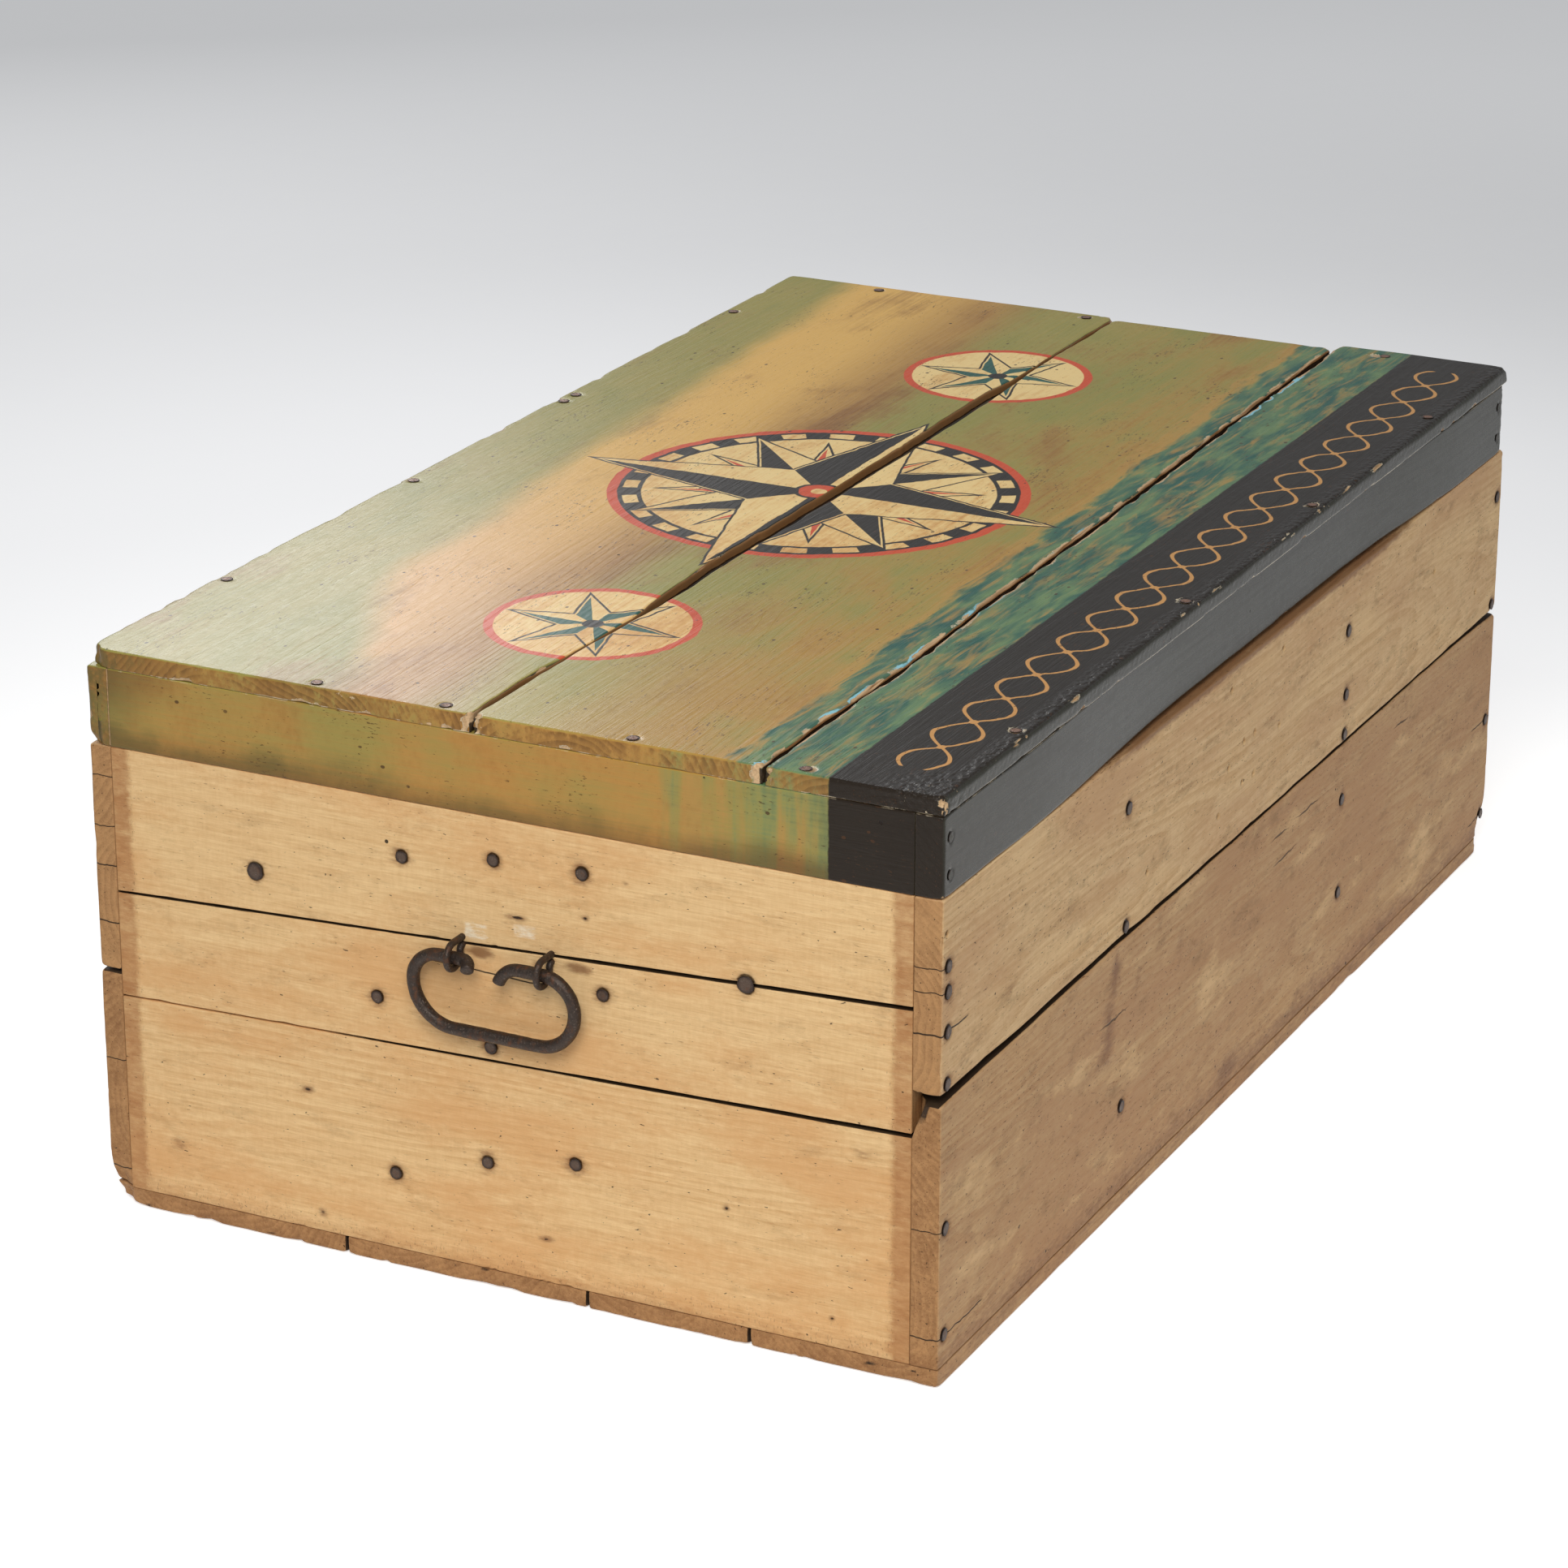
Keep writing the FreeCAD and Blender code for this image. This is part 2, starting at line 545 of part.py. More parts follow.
def case():
    front_corner, front_batten = wall_nails(FRONT, V(0, -1, 0), FRONT_JOINT_HEIGHT, FRONT_THICKNESS)
    back_corner, back_batten = wall_nails(BACK, V(0, 1, 0), BACK_JOINT_HEIGHT, BACK_THICKNESS)
    under = bottom_nails()
    leaves = [hinge_leaf(place, 0) for place in HINGE_PLACES]
    screws = hinge_screws(0)
    fixed = front_corner + front_batten + back_corner + back_batten + under

    front_inner = (INNER_FRONT, INNER_FRONT + BATTEN_THICKNESS)
    back_inner = (INNER_BACK - BATTEN_THICKNESS, INNER_BACK)
    write_wall("front", (FRONT, INNER_FRONT), front_inner, FRONT_JOINT_HEIGHT, fixed, [])
    write_wall("back", (INNER_BACK, BACK), back_inner, BACK_JOINT_HEIGHT, fixed, leaves + screws)
    for label, side in (("left", -1), ("right", 1)):
        write_end(label, side, fixed)
    write_bottom(under)

    write("front_nails", *front_corner, *front_batten)
    write("back_nails", *back_corner, *back_batten)
    for label, place, leaf in zip(("left", "right"), HINGE_PLACES, leaves):
        write("hinge_case_leaf_" + label, pierced(leaf, screws))
        write("hinge_pin_" + label, hinge_pin(place))
    write("hinge_case_screws", *screws)


def lid():
    top_nails = lid_nails()
    side_nails = rail_nails()
    nails = top_nails + side_nails
    leaves = [hinge_leaf(place, 1) for place in HINGE_PLACES]
    screws = hinge_screws(1)

    ranges = side_by_side((FRONT,) + LID_JOINTS + (BACK,), LID_JOINT_GAP)
    for name, y in zip(("front", "middle", "back"), ranges):
        end = LID_RIGHT + LID_OVERHANGS[name]
        rim = (("x", LID_LEFT), ("x", end), ("y", FRONT), ("y", BACK))
        board = block((LID_LEFT, end), y, (LID_SEAT, LID_TOP))
        board = rounded(board, LID_EDGE_ROUND, *[{axis: face, "z": LID_TOP} for axis, face in rim])
        write("lid_board_" + name, pierced(board, top_nails))

    x = (LID_LEFT, LID_RIGHT)
    y = (FRONT + LID_FRONT_RAIL_THICKNESS, BACK - LID_BACK_RAIL_THICKNESS)
    z = (LID_BASE, LID_SEAT)
    front_rail = long_board(x, (FRONT, y[0]), z)
    back_rail = long_board(x, (y[1], BACK), z)
    left_rail = block((x[0], x[0] + LID_END_RAIL_THICKNESS), y, z)
    right_rail = block((x[1] - LID_END_RAIL_THICKNESS, x[1]), y, z)
    write("lid_front_rail", pierced(front_rail, nails))
    write("lid_back_rail", pierced(back_rail, nails + leaves + screws))
    write("lid_left_rail", pierced(left_rail, nails))
    write("lid_right_rail", pierced(right_rail, nails))

    write("lid_top_nails", *top_nails)
    write("lid_rail_nails", *side_nails)
    for label, leaf in zip(("left", "right"), leaves):
        write("hinge_lid_leaf_" + label, pierced(leaf, screws))
    write("hinge_lid_screws", *screws)


os.makedirs("parts", exist_ok=True)
case()
lid()
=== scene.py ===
import json
import math

import bmesh
import bpy
import numpy as np
from mathutils import Matrix, Vector

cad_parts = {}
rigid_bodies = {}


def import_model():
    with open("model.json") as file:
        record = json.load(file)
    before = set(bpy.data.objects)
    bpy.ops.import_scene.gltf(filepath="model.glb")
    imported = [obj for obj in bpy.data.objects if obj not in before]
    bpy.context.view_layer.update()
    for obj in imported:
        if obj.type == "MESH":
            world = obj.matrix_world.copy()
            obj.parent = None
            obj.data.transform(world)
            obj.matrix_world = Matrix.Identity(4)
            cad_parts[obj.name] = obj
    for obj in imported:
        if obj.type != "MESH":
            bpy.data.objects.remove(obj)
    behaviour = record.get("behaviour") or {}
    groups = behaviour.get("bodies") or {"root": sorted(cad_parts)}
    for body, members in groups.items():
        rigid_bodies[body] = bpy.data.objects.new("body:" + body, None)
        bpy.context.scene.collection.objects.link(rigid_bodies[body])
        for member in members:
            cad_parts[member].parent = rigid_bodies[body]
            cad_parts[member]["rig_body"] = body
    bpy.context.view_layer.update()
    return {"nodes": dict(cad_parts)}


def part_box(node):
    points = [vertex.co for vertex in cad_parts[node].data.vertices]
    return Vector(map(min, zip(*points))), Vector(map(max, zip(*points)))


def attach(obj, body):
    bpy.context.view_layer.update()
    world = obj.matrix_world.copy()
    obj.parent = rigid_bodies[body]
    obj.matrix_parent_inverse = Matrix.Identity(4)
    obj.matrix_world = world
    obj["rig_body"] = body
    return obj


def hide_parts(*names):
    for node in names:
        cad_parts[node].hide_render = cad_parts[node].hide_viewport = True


# The looks of a boarded sea chest with a painted lid. Sizes in this file are millimetres, in the
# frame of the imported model, and become metres where a mesh, lamp or camera is made.
MM = 0.001
AXES = "xyz"

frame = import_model()


# ---- Repeatable randomness ----
AXIS_PRIMES = (73856093, 19349663, 83492791)
SEED_PRIME = 668265263
MIXING_FACTOR = 1274126177
KEPT_BITS = 0xFFFFFF
NOISE_ORIGIN = 17.3  # keeps the lines of the noise's own grid away from the middle of the chest


def scattered(cells, seed):
    """A value from -1 to 1 for each row of whole numbers."""
    mixed = cells @ np.array(AXIS_PRIMES) + seed * SEED_PRIME
    mixed = (mixed ^ (mixed >> 13)) * MIXING_FACTOR
    mixed = (mixed ^ (mixed >> 16)) & KEPT_BITS
    return mixed / (KEPT_BITS >> 1) - 1


def noise(points, size, seed=0):
    """Smooth values from -1 to 1 at points, with features about one size apart."""
    cell = points / np.asarray(size, float) + NOISE_ORIGIN
    base = np.floor(cell).astype(np.int64)
    part = cell - base
    part = part * part * (3 - 2 * part)
    total = np.zeros(len(points))
    for corner in np.ndindex(2, 2, 2):
        weight = np.prod(np.where(corner, part, 1 - part), axis=1)
        total += weight * scattered(base + corner, seed)
    return total


def step_up(values, low, high):
    """0 below low, 1 above high, and smooth between."""
    part = np.clip((values - low) / (high - low), 0, 1)
    return part * part * (3 - 2 * part)


def bell(values, width):
    """1 at 0, falling off smoothly over a width."""
    return np.exp(-((values / width) ** 2))


# ---- Materials: numbers in a node tree that ordinary arithmetic joins with Math nodes ----
MIX_INPUTS = (0, 6, 7)  # in a colour mix node: the share, the colour below and the one above
MIX_OUTPUT = 2


class Field:
    def __init__(self, shader, socket):
        self.shader = shader
        self.socket = socket

    def math(self, operation, *others):
        node = self.shader.add("ShaderNodeMath")
        node.operation = operation
        for place, value in enumerate((self,) + others):
            self.shader.join(value, node.inputs[place])
        return Field(self.shader, node.outputs[0])

    def __add__(self, other):
        return self.math("ADD", other)

    def __sub__(self, other):
        return self.math("SUBTRACT", other)

    def __rsub__(self, other):
        return self.math("MULTIPLY_ADD", -1.0, other)

    def __mul__(self, other):
        return self.math("MULTIPLY", other)

    def __truediv__(self, other):
        return self.math("DIVIDE", other)

    def __abs__(self):
        return self.math("ABSOLUTE")

    __radd__ = __add__
    __rmul__ = __mul__

    def over(self, low, high):
        """0 below low, 1 above high, and smooth between."""
        node = self.shader.add("ShaderNodeMapRange")
        node.interpolation_type = "SMOOTHSTEP"
        for name, value in (("Value", self), ("From Min", low), ("From Max", high)):
            self.shader.join(value, node.inputs[name])
        return Field(self.shader, node.outputs["Result"])

    def under(self, low, high):
        """1 below low, 0 above high, and smooth between."""
        node = self.over(low, high)
        node.socket.node.inputs["To Min"].default_value = 1.0
        node.socket.node.inputs["To Max"].default_value = 0.0
        return node


class Shader:
    """A Principled material whose inputs are set from fields, and whose colour is laid on in layers."""

    def __init__(self, name):
        self.material = bpy.data.materials.new(name)
        self.material.use_nodes = True
        self.tree = self.material.node_tree
        self.tree.nodes.clear()
        coordinates = self.add("ShaderNodeTexCoord").outputs["Object"]
        parts = self.add("ShaderNodeSeparateXYZ")
        self.join(coordinates, parts.inputs[0])
        self.place = {axis: Field(self, parts.outputs[axis.upper()]) / MM for axis in AXES}
        self.x, self.y, self.z = self.place.values()
        self.colour = None

    def add(self, kind):
        return self.tree.nodes.new(kind)

    def join(self, value, socket):
        if isinstance(value, Field):
            value = value.socket
        if isinstance(value, bpy.types.NodeSocket):
            self.tree.links.new(value, socket)
        elif value is not None:
            socket.default_value = value

    def texture(self, kind, parts):
        """A texture node with features about 1 apart, at a place given by its three parts."""
        place = self.add("ShaderNodeCombineXYZ")
        for value, socket in zip(parts, place.inputs):
            self.join(value, socket)
        node = self.add(kind)
        self.join(place.outputs[0], node.inputs["Vector"])
        node.inputs["Scale"].default_value = 1.0
        return node

    def noise(self, parts, detail=2.0, roughness=0.5, distortion=0.0):
        """Smooth noise from about -1 to 1."""
        node = self.texture("ShaderNodeTexNoise", parts)
        for name, value in (("Detail", detail), ("Roughness", roughness), ("Distortion", distortion)):
            node.inputs[name].default_value = value
        return Field(self, node.outputs["Fac"]) * 4.0 - 2.0

    def cells(self, parts, feature="F1"):
        """The distance to the nearest of scattered points, and a random value for that point."""
        node = self.texture("ShaderNodeTexVoronoi", parts)
        node.feature = feature
        chance = self.add("ShaderNodeSeparateColor")
        self.join(node.outputs["Color"], chance.inputs[0])
        return Field(self, node.outputs["Distance"]), Field(self, chance.outputs[0])

    def at(self, *sizes):
        """The place as counts of these sizes along x, y and z."""
        return [self.place[axis] / size for axis, size in zip(AXES, sizes)]

    def measured(self, name, kind="GEOMETRY"):
        """A value that a mesh keeps at its points."""
        node = self.add("ShaderNodeAttribute")
        node.attribute_name = name
        node.attribute_type = kind
        return Field(self, node.outputs["Fac"])

    def look(self, name):
        """A value that an object keeps as a property."""
        return self.measured(name, "OBJECT")

    def mix(self, share, below, above, kind="MIX"):
        """The colour below, with the colour above laid over it by a share from 0 to 1."""
        node = self.add("ShaderNodeMix")
        node.data_type = "RGBA"
        node.blend_type = kind
        for place, value in zip(MIX_INPUTS, (share, below, above)):
            self.join(value, node.inputs[place])
        return node.outputs[MIX_OUTPUT]

    def lay(self, share, colour, kind="MIX"):
        """Lays a colour over what the material has so far."""
        self.colour = self.mix(share, self.colour, colour, kind)

    def finish(self, roughness, height, **constants):
        """Ends the material. Height is in millimetres."""
        bump = self.add("ShaderNodeBump")
        bump.inputs["Distance"].default_value = MM
        self.join(height, bump.inputs["Height"])
        surface = self.add("ShaderNodeBsdfPrincipled")
        self.join(self.colour, surface.inputs["Base Color"])
        self.join(roughness, surface.inputs["Roughness"])
        self.join(bump.outputs[0], surface.inputs["Normal"])
        for name, value in constants.items():
            surface.inputs[name.replace("_", " ")].default_value = value
        self.join(surface.outputs[0], self.add("ShaderNodeOutputMaterial").inputs["Surface"])
        return self.material


def rgb(red, green, blue):
    """A linear colour from the usual 0 to 255 values."""
    return tuple(
        (v / 12.92 if v <= 0.04045 else ((v + 0.055) / 1.055) ** 2.4)
        for v in (red / 255, green / 255, blue / 255)
    ) + (1.0,)


# Colours
PINE_PALE = rgb(240, 205, 152)
PINE_LATE = rgb(206, 160, 106)
PINE_WARM = rgb(218, 163, 106)
# A greyer pine for painted cooler shade on the boards that the key light reaches less.
PINE_SHADE_GREY = rgb(182, 154, 126)
PINE_BROWN = rgb(164, 118, 78)
PINE_SMUDGE = rgb(146, 112, 74)
PINE_STAIN = rgb(174, 122, 76)
PINE_SOAKED = rgb(128, 84, 50)
PINE_INSIDE = rgb(158, 118, 78)
PINE_SCRAPED = rgb(252, 240, 216)
END_GRAIN = rgb(188, 142, 94)
END_GRAIN_DARK = rgb(134, 94, 58)
# Painted shade, with some dirt, for dents, holes, cracks and open joints
HOLLOW_SHADE_AND_DIRT = rgb(34, 23, 16)

PITH_DEPTH = 70.0  # from the face of a board to the heart of its tree
RING_PITCH = 4.4
TREE_TAPER = 0.04  # makes the rings run out of a face in long arches

CASE_END = 489.0  # from the middle of the chest to its ends
CRACKS = (  # end, side (front -1, back 1), height, how far it runs in, half its width
    (-1, -1, 267, 9, 0.3), (-1, -1, 252, 9, 0.3), (-1, -1, 226, 40, 0.5), (-1, -1, 101, 18, 0.3),
    (-1, -1, 31, 66, 0.4), (1, -1, 104, 44, 0.4), (1, -1, 27, 40, 0.4), (-1, 1, 290, 20, 0.3),
    (-1, 1, 257, 12, 0.3), (-1, 1, 231, 16, 0.4), (-1, 1, 193, 14, 0.4), (-1, 1, 100, 12, 0.3),
    (-1, 1, 25, 16, 0.4),
)
BOARD_CHECKS = (  # middle x, side, height, length
    (52, -1, 161, 40), (104, -1, 162, 58), (290, -1, 163, 40), (-230, -1, 137, 60), (64, -1, 142, 56),
)
HANDLE_SPLIT = (13.0, 209.8, 41.0)  # y, z and half length of the split behind the left handle
SCRAPES = ((18.0, 235.0, 7.5, 5.0), (-16.0, 241.0, 7.0, 3.5))  # y, z and half sizes


def circle(x, y):
    return (x * x + y * y).math("SQRT")


def largest(fields):
    """The largest of several fields."""
    first, *others = fields
    for field in others:
        first = first.math("MAXIMUM", field)
    return first


class Grain:
    """A board's wood: along its grain, across it and down from its face. No two boards are alike."""

    def __init__(self, s, order):
        self.shader = s
        self.along, self.across, self.depth = (s.place[axis] for axis in order)
        self.far = s.look("seed") * 71.3

    def parts(self, length, width, moved=0):
        """The place as counts of a length and a width. One part of it is moved for each board."""
        parts = [self.along / length, self.across / width, self.depth / width]
        if moved is not None:
            parts[moved] = parts[moved] + self.far
        return parts

    def noise(self, length, width, *detail, moved=0):
        return self.shader.noise(self.parts(length, width, moved), *detail)

    def rings(self):
        """Growth rings and fibres. The rings show in some places more than in others."""
        s = self.shader
        wander = self.noise(340.0, 70.0, 1.0) * 8.0
        flutter = self.noise(60.0, 12.0, 2.0) * 0.7
        radius = circle(self.across - s.look("heart_across"), self.depth - s.look("heart_depth"))
        ring = ((radius + self.along * TREE_TAPER + wander + flutter) / RING_PITCH).math("FRACT")
        shown = self.noise(240.0, 26.0, 1.0).over(-0.9, 0.5)
        late = ring.over(0.1, 0.92) * ring.under(0.93, 1.0) * (shown * 0.75 + 0.25)
        return late, self.noise(28.0, 1.1, 3.0, 0.65)


def cracks_of_case(s, wiggle):
    """Cracks that run in from the ends of the front and back boards to their nails, and open checks."""
    from_end = CASE_END - abs(s.x)
    lines = []
    for end, side, height, reach, half in CRACKS:
        line = abs(s.z - height + wiggle).under(half * 0.5, half * 1.4)
        line = line * from_end.under(reach - 7.0, reach)
        lines.append(line * (s.x * float(end)).over(0.0, 1.0) * (s.y * float(side)).over(0.0, 1.0))
    for middle, side, height, length in BOARD_CHECKS:
        spread = abs(s.x - float(middle)).under(0.0, length / 2.0)
        line = (abs(s.z - height + wiggle * 1.5) - spread * 0.8).under(-0.4, 0.2) * spread.over(0.0, 0.2)
        lines.append(line * (s.y * float(side)).over(0.0, 1.0) * 0.8)
    return largest(lines)


def split_behind_handle(s, wiggle):
    middle, height, half = HANDLE_SPLIT
    off = s.y - middle
    line = abs(s.z - height - off * 0.03 + wiggle * 0.4).under(0.2, 0.6)
    return line * abs(off).under(half - 2.0, half) * s.x.under(0.0, 1.0)


def scrapes(s, ragged):
    """Pale places above the left handle, where something was scraped off."""
    pale = []
    for y, z, half_width, half_height in SCRAPES:
        place = abs(s.y - y + ragged * 1.6).under(half_width - 1.5, half_width + 1.5)
        pale.append(place * abs(s.z - z + ragged * 1.2).under(half_height - 1.5, half_height + 1.5))
    return largest(pale) * s.x.under(0.0, 1.0)


def pine(name, order):
    """Scrubbed pine: pale, dry and fibrous, browner in its stains, ends and inside. Its dents, holes,
    cracks and open joints get painted shade with some dirt, and boards the key light reaches less a painted
    cooler shade.
    """
    s = Shader(name)
    grain = Grain(s, order)
    late, fibre = grain.rings()
    dirty = s.look("dirty")
    streak = grain.noise(110.0, 3.0, 4.0, 0.66)
    patch = grain.noise(150.0, 46.0, 3.0)
    clean = grain.noise(90.0, 34.0, 4.0, 0.6)
    smudge = grain.noise(36.0, 14.0, 5.0, 0.66, moved=1)
    mottle = grain.noise(8.0, 3.6, 5.0, 0.72, moved=1)
    rubbed = grain.noise(1.7, 11.0, 2.0, moved=1)
    ragged = grain.noise(8.0, 2.8, 4.0, 0.65, moved=1)
    wiggle = s.noise((s.x / 13.0, s.y / 9.0, s.z / 60.0), 2.0) * 0.9

    figure = late * (dirty * 0.16 + 0.34 - s.look("plain") * 0.26) + fibre * (dirty * 0.16 + 0.24)
    share = figure + streak * 0.18 + mottle * (dirty * 0.16 + 0.12) + rubbed * 0.08 + 0.26
    s.colour = s.mix(share, PINE_PALE, PINE_LATE)
    s.lay((patch + mottle * 0.3).over(-0.35, 0.8) * 0.62, PINE_WARM)
    # Painted cooler shade: boards that the key light reaches less get a greyer pine.
    s.lay(s.look("cool") * (patch + 1.4) * 0.7, PINE_SHADE_GREY)
    s.lay(s.look("brown"), PINE_BROWN)
    s.lay((clean + mottle * 0.3).over(0.15, 1.0) * dirty * 0.55, PINE_PALE)
    s.lay((smudge + mottle * 0.3).over(0.0, 1.3) * (dirty * 0.46 + 0.24), PINE_SMUDGE)

    border = s.measured("border") + ragged * 1.3 + smudge * 2.2
    s.lay(border.under(9.5, 15.0) * (smudge * 0.3 + mottle * 0.2 + 0.72), PINE_STAIN)
    fleck = grain.noise(1.2, 3.2, 3.0, 0.7).over(0.3, 0.8)
    s.lay(abs(border - 12.5).under(0.5, 4.0) * fleck * 0.6, END_GRAIN_DARK)
    s.lay(s.measured("inside") * 0.85, PINE_INSIDE)
    cut = s.mix(late * 0.34 + fibre * 0.2 + smudge * 0.3 + mottle * 0.12 + 0.16, END_GRAIN, END_GRAIN_DARK)
    s.lay(s.measured("end") * 0.92, cut)
    soaked = (s.measured("stain") + ragged * 0.24 + smudge * 0.14).over(0.15, 0.95)
    s.lay(soaked * 0.8, PINE_SOAKED)

    tick = (grain.noise(5.0, 0.9, 1.0) + dirty * 0.12).over(0.8, 1.05)
    tick = tick * (smudge + dirty * 0.6).over(-0.5, 0.6)
    s.lay(tick * (dirty * 0.25 + 0.55), PINE_SOAKED)
    s.lay(scrapes(s, ragged) * (mottle + ragged * 0.6).over(-0.9, 0.7) * 0.8, PINE_SCRAPED)
    nick = (grain.noise(3.4, 1.7, 1.0, 0.5, 0.4, moved=1) + smudge * 0.14 + dirty * 0.2).over(1.12, 1.2)
    worm, chance = s.cells(grain.parts(40.0, 40.0, moved=1))
    worm = worm.under(0.024, 0.036) * (chance + dirty * 0.35).over(0.78, 0.8)
    # Dents, worm holes, nicks and cracks are drawn dark: painted shade in these hollows, with some dirt in
    # the dents.
    pit = (s.measured("pit") + ragged * 0.12).over(0.3, 0.75)
    cracks = cracks_of_case(s, wiggle) if order[0] == "x" else split_behind_handle(s, wiggle)
    dark = largest((pit, worm, nick * 0.85, cracks))
    s.lay(dark * 0.93, HOLLOW_SHADE_AND_DIRT)

    height = late * 0.05 + fibre * 0.08 + streak * 0.05 + mottle * 0.06 - dark * 0.9 - tick * 0.2
    return s.finish(0.64 + fibre * 0.04 + soaked * -0.08, height, Specular_IOR_Level=0.25)


# ---- Board meshes ----
GRID_STEP = 9.0
ARRIS_STEPS = (0.6, 1.3, 2.2, 3.4, 5.0, 7.5, 11.0)  # grid lines near the edges of a board
DENT_STEPS = (0.0, 1.0, 2.1, 3.3, 4.8, 7.0)  # and near each nail and hole
CLOSEST_LINES = 0.5
FAR_APART = 900.0  # a size of noise that hardly changes across a board
ON_SIDE = 0.1  # how near a side a point still counts as on it
X_ENDS = ("x-", "x+")


def grid(low, high, places):
    """Grid lines across a board, closer together near its edges and at the given places."""
    marks = list(np.linspace(low, high, max(2, round((high - low) / GRID_STEP) + 1)))
    marks += [low + step for step in ARRIS_STEPS] + [high - step for step in ARRIS_STEPS]
    marks += [place + side * step for place in places for step in DENT_STEPS for side in (-1, 1)]
    marks = sorted(m for m in marks if low < m < high - CLOSEST_LINES)
    kept = [low]
    for mark in marks:
        if mark - kept[-1] >= CLOSEST_LINES:
            kept.append(mark)
    return np.array(kept + [high])


def skin(xs, ys, zs):
    """Points and four-sided faces over the six sides of a box, on the given grid lines."""
    counts = (len(xs), len(ys), len(zs))
    index = np.arange(np.prod(counts)).reshape(counts)
    sides = []
    for axis in range(3):
        for end in (0, -1):
            side = np.take(index, end, axis)
            quads = np.stack([side[:-1, :-1], side[1:, :-1], side[1:, 1:], side[:-1, 1:]], -1)
            quads = quads.reshape(-1, 4)
            faces_out = (end == -1) != (axis == 1)
            sides.append(quads if faces_out else quads[:, ::-1])
    quads = np.concatenate(sides)
    used, compact = np.unique(quads, return_inverse=True)
    corners = np.stack(np.meshgrid(xs, ys, zs, indexing="ij"), -1).reshape(-1, 3)
    return corners[used], compact.reshape(-1, 4)


class Board:
    """A board of the chest as a dense skin, to be worn, dented and stained."""

    def __init__(self, node, grain, dents=()):
        self.node = node
        self.grain = grain
        self.low, self.high = (np.array(corner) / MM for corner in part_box(node))
        self.edges = self.slanted_edges() if "end_board" in node else None
        near = [np.array(d) for d in dents if np.all((self.low - 1 < d) & (d < self.high + 1))]
        levelled = [self.slanted(d[None, :], -1)[0] for d in near]
        lines = [grid(self.low[a], self.high[a], [d[a] for d in levelled]) for a in range(3)]
        self.rest, self.quads = skin(*lines)
        self.site = self.slanted(self.rest, 1)
        self.points = self.site.copy()
        self.pit, self.stain, self.bare = np.zeros((3, len(self.points)))
        self.border = np.full(len(self.points), 99.0)
        self.seed = sum(map(ord, node)) % 97

    def slanted_edges(self):
        """Heights of the lower and upper edge at the two ends of a tapered board."""
        corners = np.array([v.co[:] for v in frame["nodes"][self.node].data.vertices]) / MM
        heights = []
        for y in (self.low[1], self.high[1]):
            z = corners[np.abs(corners[:, 1] - y) < 0.5, 2]
            heights.append((z.min(), z.max()))
        return heights

    def slanted(self, places, way):
        """Places of a level board as they are on the tapered one, or with way -1 the reverse."""
        if self.edges is None:
            return places.copy()
        part = (places[:, 1] - self.low[1]) / (self.high[1] - self.low[1])
        lower, upper = (self.edges[0][i] + part * (self.edges[1][i] - self.edges[0][i]) for i in (0, 1))
        level_low, level_high = self.low[2], self.high[2]
        moved = places.copy()
        if way > 0:
            share = (places[:, 2] - level_low) / (level_high - level_low)
            moved[:, 2] = lower + share * (upper - lower)
        else:
            share = (places[:, 2] - lower) / (upper - lower)
            moved[:, 2] = level_low + share * (level_high - level_low)
        return moved

    def side(self, name):
        """The axis and the sign of a side such as x-, and how far each rest point is from it."""
        axis = AXES.index(name[0])
        sign = 1 if name[1] == "+" else -1
        face = self.high[axis] if sign > 0 else self.low[axis]
        return axis, sign, np.abs(self.rest[:, axis] - face)

    def inset(self, name):
        """How far each rest point is from a side."""
        return self.side(name)[2]

    def mark(self, what, values):
        """Marks each point with at least this much dirt and painted shade, stain or bare wood."""
        setattr(self, what, np.maximum(getattr(self, what), values))

    def ripple(self, amount, length, seed):
        """Smooth values up to an amount, that change only along the board."""
        size = np.full(3, FAR_APART)
        size[AXES.index(self.grain[0])] = length
        return amount * noise(self.rest, size, seed)

    def arris(self, name):
        """How far each rest point is from an arris such as x-y-, and the direction out through it."""
        first, second = self.side(name[:2]), self.side(name[2:])
        out = np.zeros(3)
        out[first[0]] = first[1]
        out[second[0]] = second[1]
        return np.hypot(first[2], second[2]), out / math.sqrt(2)

    def shift(self, name, amount, reach):
        """Moves a side inwards by an amount per point, fading out over the reach."""
        axis, sign, distance = self.side(name)
        self.points[:, axis] -= sign * amount * np.clip(1 - distance / reach, 0, 1)

    def round(self, radius=1.3, arrises=()):
        """Rounds the arrises, and wears some of them to a larger radius."""
        size = np.full(len(self.points), radius)
        for name, larger in arrises:
            distance, _ = self.arris(name)
            size += (larger - radius) * bell(distance, 2.2 * larger)
        size *= 1 + 0.45 * noise(self.rest, 34, self.seed) + 0.2 * noise(self.rest, 9, self.seed + 1)
        size = np.clip(size, 0.5, 0.45 * (self.high - self.low).min())[:, None]
        core = np.clip(self.rest, self.low + size, self.high - size)
        out = self.rest - core
        moved = core + out * (size / np.linalg.norm(out, axis=1, keepdims=True))
        self.points += moved - self.rest

    def chip(self, name, depth, reach, length, share=0.5, where=None):
        """Breaks splinters off an arris. Share is how much of its length is left whole."""
        distance, out = self.arris(name)
        seed = self.seed + sum(map(ord, name))
        rough = 0.75 * noise(self.rest, length, seed) + 0.4 * noise(self.rest, length / 3.1, seed + 3)
        bite = step_up(rough, 2 * share - 1, 2 * share - 0.3)
        if where is not None:
            bite = bite * where
        taken = bite * bell(distance, reach)
        self.points -= out * (depth * taken)[:, None]
        self.mark("bare", bite * bell(distance, 1.3 * reach))

